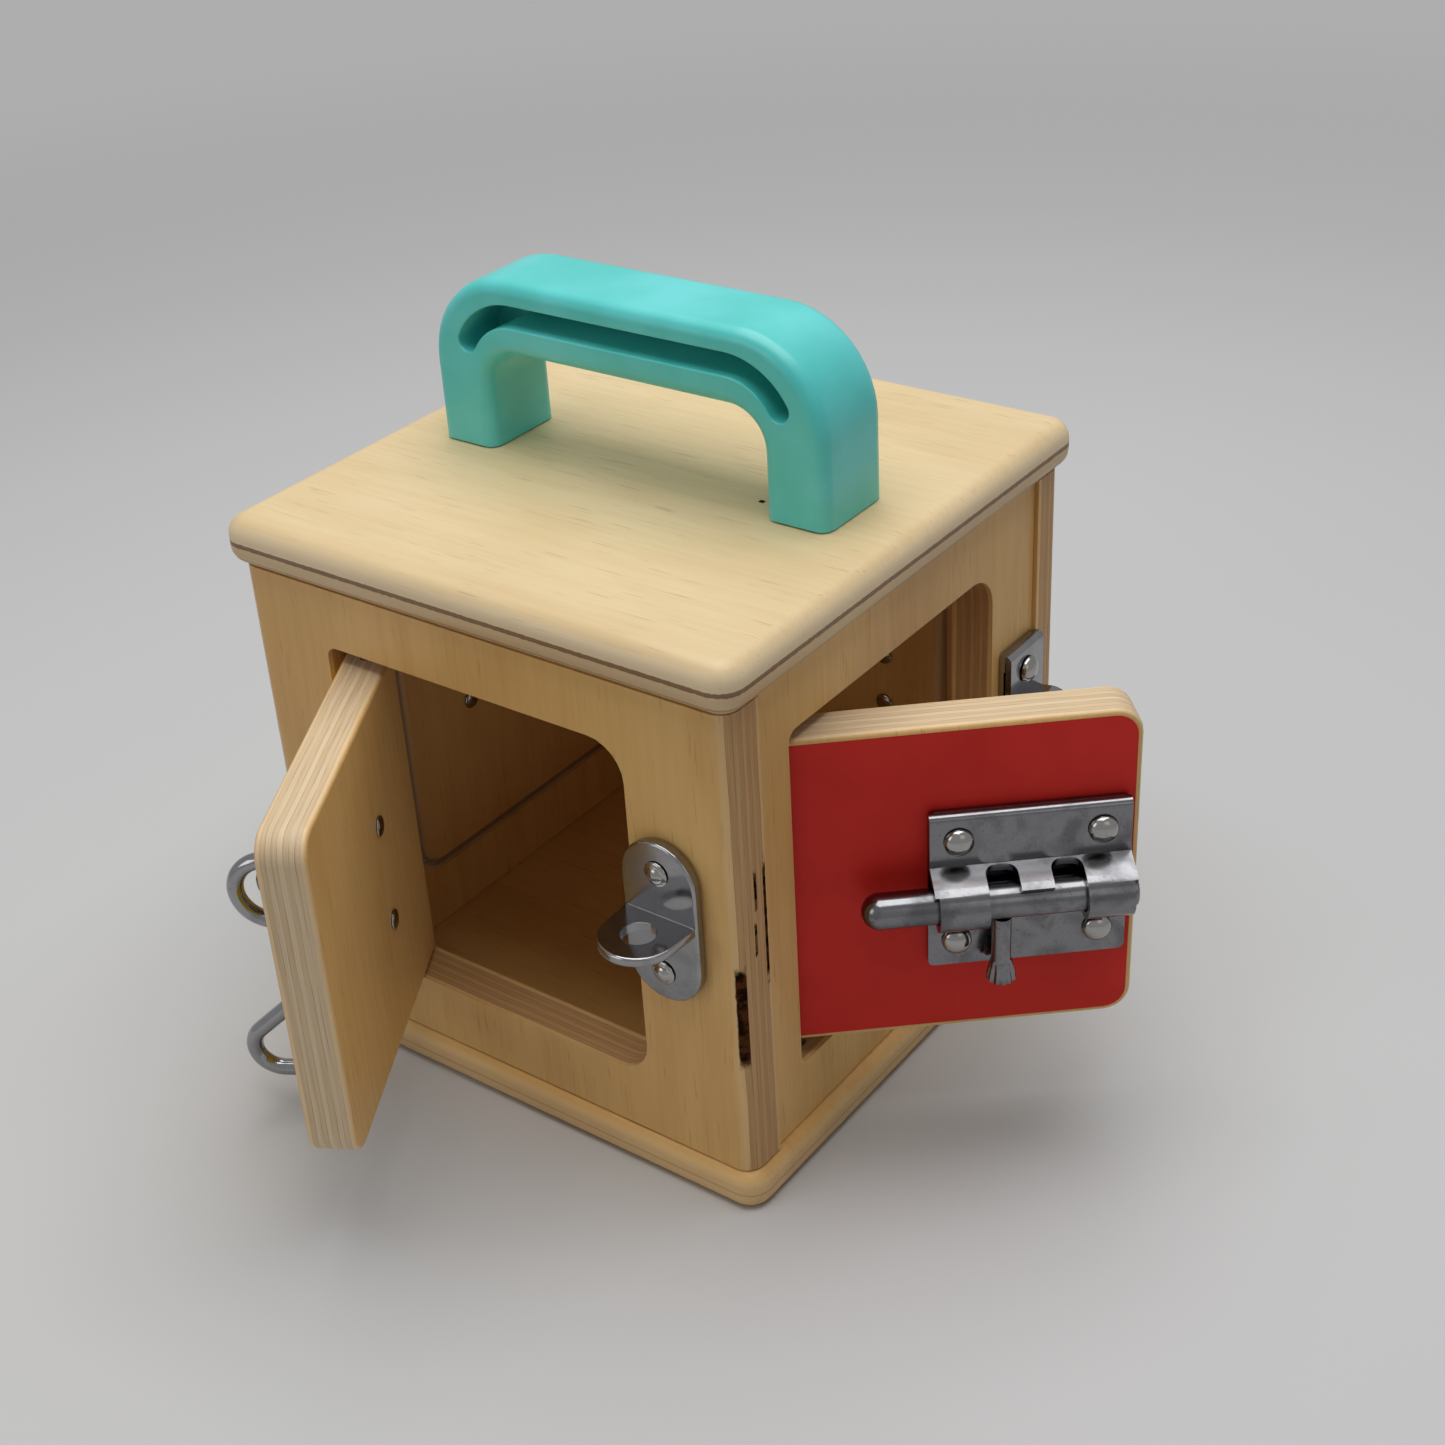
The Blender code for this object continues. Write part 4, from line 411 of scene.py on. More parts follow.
def plywood(name, place, half, shift, figure, sanded, shade_tints=(PLAIN, PLAIN), patches=(),
            plies=PLIES, seams_and_shade=()):
    """Birch plywood on one board, with any voids, specks or brown lines that it has. Its tints and the
    lid's wide tan band are painted shade, and the voids' dark colour is partly painted shade.
    """
    made, tree, shader = new_material(name, BIRCH_PALE, Coat_Roughness=0.3,
                                      Specular_IOR_Level=PLY_SHINE)
    spot = object_place(tree, place)
    ply = grouped(tree, "birch_ply", {"Place": spot, "Half Thickness": half, "Plies": plies,
                                      "Shift": shift, "Figure": figure, "Sanded Edge": sanded,
                                      "Face Shade Tint": shade_tints[0], "Edge Tint": shade_tints[1]})
    colour, height = ply.outputs["Color"], ply.outputs["Height"]
    shine = PLY_SHINE
    # brown lines, and on the lid a wide band of painted shade
    for level, size, shade, share in seams_and_shade:
        mask = grouped(tree, "patch", {"Place": object_place(tree), "Centre": (0, 0, level),
                                       "Half Size": (1, 1, size),
                                       "Raggedness": SEAM_RAGGEDNESS}).outputs[0]
        colour = mixed(tree, maths(tree, "MULTIPLY", mask, share), colour, shade)
    # voids: a dip in height, and a dark colour that is partly painted shade in the hollow
    for centre, size, shade, ragged in patches:
        world = object_place(tree)
        mask = grouped(tree, "patch", {"Place": world, "Centre": centre, "Half Size": size,
                                       "Raggedness": ragged}).outputs[0]
        blotch = noise(tree, world, VOID_BLOTCHES)
        dark = mixed(tree, ramp(tree, blotch, 0.42, 0.6), shade, SPECK_AND_VOID_SHADE)
        colour = mixed(tree, mask, colour, dark)
        height = maths(tree, "SUBTRACT", height, maths(tree, "MULTIPLY", mask, 1.2))
        shine = maths(tree, "MULTIPLY", maths(tree, "SUBTRACT", 1.0, mask), shine)
    if patches:
        tree.links.new(shine, shader.inputs["Specular IOR Level"])
    surface(tree, shader, colour, ply.outputs["Roughness"], height, 0.22, PLY_RELIEF)
    return made


def plated(name, bright=CHROME, dull=CHROME_DULL, polish=0.12, wear=0.5):
    made, tree, shader = new_material(name, bright, Metallic=1.0)
    finish = grouped(tree, "plating", {"Place": object_place(tree), "Bright": bright,
                                       "Dull": dull, "Polish": polish, "Wear": wear})
    surface(tree, shader, finish.outputs["Color"], finish.outputs["Roughness"],
            finish.outputs["Height"], 0.12, PLATING_RELIEF)
    return made


def filmed(name, base, lighter, peel, gloss, strength, coat=0.0, specular=0.5):
    made, tree, shader = new_material(name, base, Coat_Weight=coat, Coat_Roughness=0.25,
                                      Specular_IOR_Level=specular)
    finish = grouped(tree, "film", {"Place": object_place(tree), "Base": base,
                                    "Lighter": lighter, "Peel": peel, "Gloss": gloss})
    surface(tree, shader, finish.outputs["Color"], finish.outputs["Roughness"],
            finish.outputs["Height"], strength, FILM_RELIEF)
    return made


# Pieces

def merged(name, node):
    """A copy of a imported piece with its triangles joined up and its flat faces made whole."""
    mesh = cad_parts[node].data.copy()
    mesh.name = name
    mesh.materials.clear()
    shape = bmesh.new()
    shape.from_mesh(mesh)
    bmesh.ops.remove_doubles(shape, verts=shape.verts, dist=MERGE_DISTANCE)
    bmesh.ops.dissolve_limit(shape, angle_limit=FLAT_ANGLE, verts=shape.verts,
                             edges=shape.edges)
    return mesh, shape


def ease(shape, width, steps=2, chosen=None, angle=50):
    """Rounds the sharp edges that a test picks out."""
    edges = [edge for edge in shape.edges
             if edge.is_manifold and edge.calc_face_angle(0) > math.radians(angle)
             and (chosen is None or chosen(edge))]
    bmesh.ops.bevel(shape, geom=edges, offset=width, offset_type="OFFSET", segments=steps,
                    profile=0.5, affect="EDGES", clamp_overlap=True)


def shown(name, mesh, body, material, nodes):
    """A visible piece, smooth but for its sharp edges, that rides on a body in place of its nodes."""
    mesh.materials.clear()
    mesh.materials.append(material)
    mesh.shade_smooth()
    mesh.set_sharp_from_angle(angle=SMOOTH_ANGLE)
    made = bpy.data.objects.new(name, mesh)
    bpy.context.scene.collection.objects.link(made)
    weighted = made.modifiers.new("even shading", "WEIGHTED_NORMAL")
    weighted.keep_sharp = True
    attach(made, body)
    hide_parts(*nodes)
    return made


def refined(node, body, material, width, chosen=None):
    """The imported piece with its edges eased, or left as they are when the width is 0."""
    name = f"{node}_finished"
    mesh, shape = merged(name, node)
    if width:
        ease(shape, width, chosen=chosen)
    shape.to_mesh(mesh)
    shape.free()
    return shown(name, mesh, body, material, [node])


def turned_mesh(name, profile, place, steps):
    """A turned piece: its profile, radius and height, swept round Z and put in place."""
    shape = bmesh.new()
    rings = []
    for radius, height in profile:
        if radius == 0:
            rings.append([shape.verts.new((0, 0, height))])
        else:
            ring = []
            for step in range(steps):
                angle = 2 * math.pi * step / steps
                ring.append(shape.verts.new((radius * math.cos(angle), radius * math.sin(angle),
                                             height)))
            rings.append(ring)
    for upper, lower in zip(rings, rings[1:]):
        for step in range(steps):
            after = (step + 1) % steps
            if len(upper) == 1:
                shape.faces.new((upper[0], lower[step], lower[after]))
            elif len(lower) == 1:
                shape.faces.new((upper[step], lower[0], upper[after]))
            else:
                shape.faces.new((upper[step], lower[step], lower[after], upper[after]))
    bmesh.ops.recalc_face_normals(shape, faces=shape.faces)
    bmesh.ops.transform(shape, matrix=place, verts=shape.verts)
    mesh = bpy.data.meshes.new(name)
    shape.to_mesh(mesh)
    shape.free()
    return mesh


def wire_mesh(name, points, radius, place, cyclic=False):
    """Round wire along a path, with its ends closed."""
    data = bpy.data.curves.new(name, "CURVE")
    data.dimensions = "3D"
    data.bevel_depth = radius
    data.bevel_resolution = WIRE_STEPS
    data.use_fill_caps = True
    spline = data.splines.new("POLY")
    spline.points.add(len(points) - 1)
    for point, spot in zip(spline.points, points):
        point.co = (*spot, 1)
    spline.use_cyclic_u = cyclic
    holder = bpy.data.objects.new(name, data)
    bpy.context.scene.collection.objects.link(holder)
    bpy.context.view_layer.update()
    mesh = bpy.data.meshes.new_from_object(
        holder.evaluated_get(bpy.context.evaluated_depsgraph_get()))
    bpy.data.objects.remove(holder)
    shape = bmesh.new()
    shape.from_mesh(mesh)
    bmesh.ops.remove_doubles(shape, verts=shape.verts, dist=MERGE_DISTANCE)
    bmesh.ops.recalc_face_normals(shape, faces=shape.faces)
    bmesh.ops.transform(shape, matrix=place, verts=shape.verts)
    shape.to_mesh(mesh)
    shape.free()
    return mesh


# Fasteners and ribs: geometry node trees

def geometry_tree(name, inputs):
    """A geometry node tree: its named inputs, and the socket that its result goes to."""
    tree = bpy.data.node_groups.new(name, "GeometryNodeTree")
    tree.interface.new_socket(name="Geometry", in_out="INPUT",
                              socket_type="NodeSocketGeometry")
    for label, kind, value in inputs:
        socket = tree.interface.new_socket(name=label, in_out="INPUT", socket_type=kind)
        if value is not None:
            socket.default_value = value
    tree.interface.new_socket(name="Geometry", in_out="OUTPUT",
                              socket_type="NodeSocketGeometry")
    given = tree.nodes.new("NodeGroupInput")
    result = tree.nodes.new("NodeGroupOutput")
    return tree, given.outputs, result.inputs[0]


def dome_nodes(tree, radius, rise):
    """A low dome on the plane z = 0: a sphere whose lower half is pressed flat."""
    ball = add(tree, "GeometryNodeMeshUVSphere", {"Segments": 32, "Rings": 16, "Radius": 1.0})
    at = add(tree, "ShaderNodeSeparateXYZ", {0: add(tree, "GeometryNodeInputPosition").outputs[0]})
    up = maths(tree, "MAXIMUM", at.outputs[2], 0.0)
    pressed = add(tree, "ShaderNodeCombineXYZ",
                  {0: maths(tree, "MULTIPLY", at.outputs[0], radius),
                   1: maths(tree, "MULTIPLY", at.outputs[1], radius),
                   2: maths(tree, "MULTIPLY", up, rise)})
    made = add(tree, "GeometryNodeSetPosition", {"Geometry": ball.outputs["Mesh"],
                                                 "Position": pressed.outputs[0]})
    return made.outputs[0]


def moved_nodes(tree, shape, place, turn=(0, 0, 0)):
    return add(tree, "GeometryNodeTransform", {"Geometry": shape, "Translation": place,
                                               "Rotation": turn}).outputs[0]


def fastener_tree():
    """A fastener on each point: domed head on a low collar, shank, and a small tail."""
    tree, given, result = geometry_tree("fasteners", (
        ("Head Radius", "NodeSocketFloat", 0.0028), ("Head Rise", "NodeSocketFloat", 0.001),
        ("Crown Radius", "NodeSocketFloat", 0.002), ("Crown Rise", "NodeSocketFloat", 0.0014),
        ("Shank Radius", "NodeSocketFloat", 0.002), ("Shank Length", "NodeSocketFloat", 0.013),
        ("Tail Radius", "NodeSocketFloat", 0.0026), ("Tail Rise", "NodeSocketFloat", 0.0007),
        ("Turn", "NodeSocketRotation", None), ("Finish", "NodeSocketMaterial", None)))
    head = dome_nodes(tree, given["Head Radius"], given["Head Rise"])
    crown = dome_nodes(tree, given["Crown Radius"], given["Crown Rise"])
    shank = add(tree, "GeometryNodeMeshCylinder", {
        "Vertices": 24, "Radius": given["Shank Radius"], "Depth": given["Shank Length"]})
    half = maths(tree, "MULTIPLY", given["Shank Length"], -0.5)
    middle = add(tree, "ShaderNodeCombineXYZ", {2: half}).outputs[0]
    shank = moved_nodes(tree, shank.outputs["Mesh"], middle)
    end = add(tree, "ShaderNodeCombineXYZ",
              {2: maths(tree, "MULTIPLY", given["Shank Length"], -1.0)}).outputs[0]
    tail = dome_nodes(tree, given["Tail Radius"], given["Tail Rise"])
    tail = moved_nodes(tree, tail, end, (math.pi, 0, 0))
    whole = tree.nodes.new("GeometryNodeJoinGeometry")
    for part in (head, crown, shank, tail):
        tree.links.new(part, whole.inputs[0])
    copies = add(tree, "GeometryNodeInstanceOnPoints", {
        "Points": given["Geometry"], "Instance": whole.outputs[0], "Rotation": given["Turn"]})
    real = add(tree, "GeometryNodeRealizeInstances", {"Geometry": copies.outputs[0]})
    done = add(tree, "GeometryNodeSetMaterial", {"Geometry": real.outputs[0],
                                                 "Material": given["Finish"]})
    tree.links.new(done.outputs[0], result)
    return tree


def rib_tree():
    """Ribs round a turned grip about Z: the surface waves in and out over part of its length."""
    tree, given, result = geometry_tree("ribbed_grip", (
        ("Ribs", "NodeSocketFloat", 14.0), ("Rib Depth", "NodeSocketFloat", 0.0003),
        ("Start", "NodeSocketFloat", 0.02), ("Blend", "NodeSocketFloat", 0.001),
        ("Finish", "NodeSocketMaterial", None)))
    spot = add(tree, "GeometryNodeInputPosition").outputs[0]
    at = add(tree, "ShaderNodeSeparateXYZ", {0: spot})
    angle = maths(tree, "ARCTAN2", at.outputs[1], at.outputs[0])
    wave = maths(tree, "COSINE", maths(tree, "MULTIPLY", angle, given["Ribs"]))
    sunk = maths(tree, "MULTIPLY", maths(tree, "SUBTRACT", wave, 1.0), given["Rib Depth"])
    along = maths(tree, "DIVIDE", maths(tree, "SUBTRACT", at.outputs[2], given["Start"]),
                  given["Blend"])
    along = maths(tree, "MINIMUM", maths(tree, "MAXIMUM", along, 0.0), 1.0)
    flat = add(tree, "ShaderNodeCombineXYZ", {0: at.outputs[0], 1: at.outputs[1]}).outputs[0]
    outward = vectors(tree, "NORMALIZE", flat)
    push = add(tree, "ShaderNodeVectorMath", {0: outward}, operation="SCALE")
    tree.links.new(maths(tree, "MULTIPLY", sunk, along), push.inputs["Scale"])
    moved = add(tree, "GeometryNodeSetPosition", {"Geometry": given["Geometry"],
                                                  "Offset": push.outputs[0]})
    real = add(tree, "GeometryNodeRealizeInstances", {"Geometry": moved.outputs[0]})
    done = add(tree, "GeometryNodeSetMaterial", {"Geometry": real.outputs[0],
                                                 "Material": given["Finish"]})
    tree.links.new(done.outputs[0], result)
    return tree


def grown(name, mesh, tree, values):
    """The plain mesh that a geometry node tree makes from a mesh, its inputs set by socket."""
    holder = bpy.data.objects.new(name, mesh)
    bpy.context.scene.collection.objects.link(holder)
    step = holder.modifiers.new(name, "NODES")
    step.node_group = tree
    sockets = {item.name: item.identifier for item in tree.interface.items_tree
               if item.in_out == "INPUT"}
    for label, value in values.items():
        step[sockets[label]] = value
    bpy.context.view_layer.update()
    made = bpy.data.meshes.new_from_object(
        holder.evaluated_get(bpy.context.evaluated_depsgraph_get()))
    bpy.data.objects.remove(holder)
    made.name = name
    return made


FASTENERS = fastener_tree()
RIBS = rib_tree()


def fasteners(name, frame_of, spots, out, sizes, body, material, nodes):
    """Fasteners on one body: spots are places along and up a wall or door, out their seat."""
    head, crown, shank, tail = sizes
    points = [frame_of @ Vector((along, -out, up)) for along, up in spots]
    mesh = bpy.data.meshes.new(f"{name}_spots")
    mesh.from_pydata(points, [], [])
    turn = (frame_of.to_3x3() @ Matrix.Rotation(math.pi / 2, 3, "X")).to_euler()
    made = grown(name, mesh, FASTENERS, {
        "Head Radius": head[0], "Head Rise": head[1], "Crown Radius": crown[0],
        "Crown Rise": crown[1], "Shank Radius": shank[0], "Shank Length": shank[1],
        "Tail Radius": tail[0], "Tail Rise": tail[1], "Turn": turn, "Finish": material})
    return shown(name, made, body, material, nodes)


# Boards

# Voids and specks: centre, half size, colour and raggedness. The voids have no hollow in the mesh, so
# their dark colour is partly their own brown and partly painted shade inside them
LID_SPECK = ((0.0345, -0.0041, LID_TOP), (0.0008, 0.0007, 0.001), SPECK_AND_VOID_SHADE, 0.3)
CORNER_VOIDS_AND_SHADE = (
    ((0.0705, -0.0704, 0.0555), (0.0011, 0.0010, 0.0142), VOID_BROWN_AND_SHADE, 0.25),
    ((FRONT_FACE, -0.0618, 0.0780), (0.001, 0.00055, 0.0170), VOID_BROWN_AND_SHADE, 0.6),
    ((FRONT_FACE, -0.0652, 0.0880), (0.001, 0.00055, 0.0055), VOID_PALE_AND_SHADE, 0.7),
    ((FRONT_FACE, -0.0658, 0.0753), (0.001, 0.00050, 0.0044), VOID_PALE_AND_SHADE, 0.7),
)

# Brown lines along a board's edge, and on the lid a wide band of painted shade over the lower part of
# its edge: height, half width, colour and strength
LID_SEAMS_AND_SHADE = (
    # the lid's lower edge: a wide tan band of painted shade
    (WALL_TOP + 0.0028, 0.0034, SHADE_TAN, 0.65),
    (WALL_TOP + 0.0062, 0.0006, SEAM_BROWN, 0.9),
    (WALL_TOP + 0.0022, 0.0004, SEAM_BROWN, 0.5),
)
BASE_SEAMS = ((0.0048, 0.0003, SEAM_BROWN, 0.3),)

# Where each board's grain is taken from
LID_SHIFT = (0.31, 0.12, 0.05)
BASE_SHIFT = (0.77, 0.41, 0.3)
WALL_SHIFTS = {"front": (0.1, 0.7, 0.2), "right": (0.5, 0.2, 0.9), "back": (0.9, 0.5, 0.1),
               "left": (0.3, 0.9, 0.6)}
DOOR_SHIFT = 0.37

# Door openings: the eased rims lie within these reaches of the wall's middle
RIM_MIDDLE = 0.0733
RIM_REACH_UP = 0.06
RIM_REACH_OUT = 0.0721
RIM_REACH_ACROSS = 0.055
RIM_EASE = 0.0007

# Door sheets, spread by a hair to close the gap round them
SHEET_EASE = 0.00015
SHEET_MIDDLE = (0.0378, 0, 0.073)
SHEET_SPREAD = (1.0073, 1, 1.0070, 1)


def upright_board(side_frame, out, height):
    """A wall or door board's own axes: X up the grain, Z out through the plies."""
    middle = side_frame @ Vector((0, -out, height))
    grain = Vector((0, 0, 1))
    through = side_frame.to_3x3() @ Vector((0, -1, 0))
    across = through.cross(grain)
    axes = Matrix((grain, across, through)).transposed().to_4x4()
    return Matrix.Translation(middle) @ axes


def on_rim(edge):
    """Whether an edge of a wall belongs to the rim of its door opening."""
    for vert in edge.verts:
        across, out = sorted((abs(vert.co.x), abs(vert.co.y)))
        if abs(vert.co.z - RIM_MIDDLE) >= RIM_REACH_UP:
            return False
        if out >= RIM_REACH_OUT or across >= RIM_REACH_ACROSS:
            return False
    return True


def dress_lid_and_base():
    half_lid, half_base = LID_THICK / 2, BASE_THICK / 2
    lid = plywood("birch_lid", Matrix.Translation((0, 0, WALL_TOP + half_lid)), half_lid,
                  LID_SHIFT, 0.34, 0.6, plies=2, patches=(LID_SPECK,), seams_and_shade=LID_SEAMS_AND_SHADE)
    refined("lid_board", "body", lid, 0)
    # the base's golden tints are painted shade
    base = plywood("birch_base", Matrix.Translation((0, 0, half_base)), half_base,
                   BASE_SHIFT, 0.4, 0.25, (SHADE_GOLDEN, SHADE_GOLDEN), plies=2, seams_and_shade=BASE_SEAMS)
    refined("base_board", "body", base, 0)


def dress_wall(side, side_frame):
    half = WALL_THICK / 2
    place = upright_board(side_frame, WALL_FACES[side] - half, WALL_MIDDLE)
    # the golden face tint and browned edge tint are painted shade
    material = plywood(f"birch_{side}_wall", place, half, WALL_SHIFTS[side], 0.42, 0.2,
                       (SHADE_GOLDEN, SHADE_BROWNED), patches=CORNER_VOIDS_AND_SHADE if side == "front" else ())
    refined(f"{side}_panel", "body", material, RIM_EASE, on_rim)


def dress_door(side):
    """A door's board and the coloured sheet in its face."""
    door = f"{side}_door"
    shift = tuple(value + DOOR_SHIFT for value in WALL_SHIFTS[side])
    # the golden face tint is painted shade
    material = plywood(f"birch_{door}", upright_board(DOORS[side], 0, DOOR_MIDDLE),
                       WALL_THICK / 2, shift, 0.36, 0.55, (SHADE_GOLDEN, PLAIN))
    refined(door, door, material, 0)
    colour = SHEET_COLOURS[side]
    lighter = tuple(min(1, part * 1.12 + 0.004) for part in colour[:3]) + (1,)
    sheet = filmed(f"{side}_sheet", colour, lighter, 700.0, 0.36, 0.10, specular=0.15)
    face = refined(f"{door}_face", door, sheet, SHEET_EASE)
    middle = DOORS[side] @ Matrix.Translation(SHEET_MIDDLE)
    face.data.transform(middle @ Matrix.Diagonal(SHEET_SPREAD) @ middle.inverted())


def dress_boards():
    dress_lid_and_base()
    for side, side_frame in WALLS.items():
        dress_wall(side, side_frame)
        dress_door(side)


# Carry handle: the rolled rim round its slot, and the eased foot of each leg
SLOT_RIM = 0.0013
SLOT_RIM_STEPS = 4
SLOT_RIM_REACH = 0.0002
FOOT_EASE = 0.0003
FOOT_REACH = 0.0005
FOOT_HALF_SPAN = 0.045
FOOT_HALF_DEPTH = 0.008
HANDLE_EDGE_ANGLE = 60


def dress_handle():
    """The handle with a rolled rim round its slot and eased feet."""
    teal = filmed("teal_moulding", TEAL, TEAL_LIGHT, 520.0, 0.36, 0.10, 0.25)
    mesh, shape = merged("carry_handle_finished", "carry_handle")
    front = min(vert.co.y for vert in shape.verts)

    def on_front(edge):
        return all(abs(vert.co.y - front) < SLOT_RIM_REACH for vert in edge.verts)

    def at_foot(edge):
        return all(vert.co.z < LID_TOP + FOOT_REACH
                   and max(abs(vert.co.x) - FOOT_HALF_SPAN, abs(vert.co.y) - FOOT_HALF_DEPTH) > 0
                   for vert in edge.verts)

    ease(shape, SLOT_RIM, SLOT_RIM_STEPS, on_front, HANDLE_EDGE_ANGLE)
    ease(shape, FOOT_EASE, chosen=at_foot, angle=HANDLE_EDGE_ANGLE)
    shape.to_mesh(mesh)
    shape.free()
    shown("carry_handle_finished", mesh, "body", teal, ["carry_handle"])


# Metalwork

# Barrel bolt: distances along the rod from the hinge line, and the turned knob's profile
ROD_RADIUS = 0.00425
ROD_TAIL = 0.0142
ROD_HEAD = 0.0770
NOSE_RISE = 0.0038
NOSE_START = 0.0042
ROD_STEPS = 64
HEAD_HOLLOW = ((0, ROD_HEAD - 0.0012), (0.0012, ROD_HEAD - 0.0010), (0.0019, ROD_HEAD))
HEAD_RIM = ((ROD_RADIUS - 0.0006, ROD_HEAD), (ROD_RADIUS - 0.0002, ROD_HEAD - 0.0002),
            (ROD_RADIUS, ROD_HEAD - 0.0006))
KNOB_ALONG = 0.0464
KNOB_STEPS = 84
KNOB_PROFILE = (
    (0, 0.0219), (0.0016, 0.0221), (0.0031, 0.0220), (0.00345, 0.0218), (0.0035, 0.0214),
    (0.00335, 0.0205), (0.0030, 0.0188), (0.0027, 0.0174), (0.0025, 0.0166), (0.00225, 0.0162),
    (0.00225, 0.0110), (0.00225, 0.00455), (0, 0.00455))
KNOB_RIBS = {"Ribs": 12.0, "Rib Depth": 0.00022, "Start": 0.0166, "Blend": 0.0012}

# Cabin hook: its eye's centre on the front door, then its shank outwards and upwards from there
EYE_CENTRE = (0.0282, -0.0236, 0.0671)
EYE_STEPS = 72
SHANK_START = ((-0.0027, -0.0084), (-0.0027, -0.012))
SHANK_BEND = ((0.0018, -0.02988), 0.0045, 180, 228, 10)
SHANK_CROOK = ((0.0050, -0.0481), 0.0069, 48, -90, 24)
SHANK_TIP = (-0.0085, -0.0550)

# Packed metal pieces, the body that each rides on and how far its edges are eased
EASED_METAL = (
    ("bolt_plate", "right_door", 0.00018), ("bolt_keeper", "body", 0.00018),
    ("hook_bracket", "front_door", 0.00035), ("catch_bracket", "body", 0.00035),
    ("hasp_leaf", "back_door", 0.0002), ("hasp_strap", "hasp_strap", 0.0002),
    ("staple_plate", "body", 0.0002), ("staple", "staple", 0.0004),
    ("swing_bar", "swing_bar", 0.0004), ("bar_washer", "left_door", 0.0002),
    ("bar_keeper", "body", 0.0002))

# Fasteners: radius and rise of head and crown, radius and length of shank, radius and rise of tail
DOMED_SCREW = ((0.0035, 0.0021), (0.0020, 0.00214), (0.0014, 0.010), (0.0012, 0.0006))
STEPPED_RIVET = ((0.0031, 0.0007), (0.0023, 0.00144), (0.0020, 0.0154), (0.0026, 0.0007))
HASP_RIVET = ((0.0031, 0.0007), (0.0023, 0.00144), (0.0020, 0.0139), (0.0026, 0.0007))
SMALL_SCREW = ((0.0030, 0.0017), (0.0018, 0.00174), (0.0013, 0.009), (0.0011, 0.0005))
PIVOT_PIN = ((0.0040, 0.0021), (0.0022, 0.00214), (0.0020, 0.0162), (0.0026, 0.0008))

# What the heads stand on: thin plate, bracket, hasp leaf, folded leaf and washer with its bar
PLATE_SEAT = 0.0018
BRACKET_SEAT = 0.0035
HASP_SEAT = 0.002
FOLDED_SEAT = 0.0040
PIVOT_SEAT = 0.0043

# Where the fasteners are along and up their wall or door
BOLT_ROW_LOW = 0.0587
BOLT_ROW_HIGH = 0.0875
BOLT_COLUMNS = (0.0371, 0.0699)
KEEPER_COLUMN = 0.05155
CATCH_SPOTS = ((0.0526, 0.0647), (0.0526, 0.0917))
HOOK_BRACKET_SPOTS = ((0.0282, 0.0592), (0.0282, 0.0862))
HASP_SPOTS = ((0.0128, 0.0586), (0.0128, 0.0734))
STAPLE_SPOTS = ((0.0522, 0.0525), (0.0522, 0.0795))
BAR_KEEPER_SPOTS = ((0.0495, 0.0465), (0.0495, 0.0590))
BAR_PIVOT_SPOT = (0.0548, 0.071)


def dome_profile(radius, rise, steps=8):
    """Half the outline of a low dome, from its top outwards."""
    sphere = (radius * radius + rise * rise) / (2 * rise)
    widest = math.asin(min(1, radius / sphere))
    points = []
    for step in range(steps + 1):
        angle = widest * step / steps
        points.append((sphere * math.sin(angle), rise - sphere * (1 - math.cos(angle))))
    return points


def bolt_pieces(metal):
    """The barrel bolt's rod, its nose rounded and its head hollowed, and the ribbed knob."""
    axis = DOORS["right"] @ Matrix.Translation((0, -BOLT_AXIS_OUT, BOLT_HEIGHT))
    along = axis @ Matrix.Rotation(math.pi / 2, 4, "Y")
    nose = [(across, ROD_TAIL + NOSE_RISE - up)
            for across, up in dome_profile(ROD_RADIUS, NOSE_RISE)]
    profile = [*HEAD_HOLLOW, *HEAD_RIM, (ROD_RADIUS, ROD_TAIL + NOSE_START), *reversed(nose)]
    mesh = turned_mesh("bolt_rod_finished", profile, along, ROD_STEPS)
    shown("bolt_rod_finished", mesh, "bolt_rod", metal, ["bolt_rod"])
    blank = turned_mesh("bolt_knob_blank", KNOB_PROFILE, Matrix.Identity(4), KNOB_STEPS)
    ribbed = grown("bolt_knob_finished", blank, RIBS, {**KNOB_RIBS, "Finish": metal})
    ribbed.transform(axis @ Matrix.Translation((KNOB_ALONG, 0, 0))
                     @ Matrix.Rotation(math.pi, 4, "X"))
    shown("bolt_knob_finished", ribbed, "bolt_knob", metal, ["bolt_knob"])


def arc_points(centre, radius, first, last, steps):
    """Points along an arc, from the first angle to the last in degrees."""
    points = []
    for step in range(steps + 1):
        angle = math.radians(first + (last - first) * step / steps)
        points.append((centre[0] + radius * math.cos(angle), centre[1] + radius * math.sin(angle)))
    return points


def hook_pieces(metal):
    """The cabin hook: a round eye through the tab, a long shank and a crook with a pointed tip."""
    eye = DOORS["front"] @ Matrix.Translation(EYE_CENTRE)
    circle = arc_points((0, 0), HOOK_EYE_RADIUS, 0, 360, EYE_STEPS)[:-1]
    ring = [(0, *spot) for spot in circle]
    mesh = wire_mesh("hook_eye_finished", ring, HOOK_WIRE_RADIUS, eye, True)
    shown("hook_eye_finished", mesh, "hook_eye", metal, ["hook_eye"])
    route = [*SHANK_START, *arc_points(*SHANK_BEND), *arc_points(*SHANK_CROOK), SHANK_TIP]
    points = [(0, -out, up) for out, up in route]
    mesh = wire_mesh("hook_shank_finished", points, HOOK_WIRE_RADIUS, eye)
    shown("hook_shank_finished", mesh, "hook_shank", metal, ["hook_shank"])


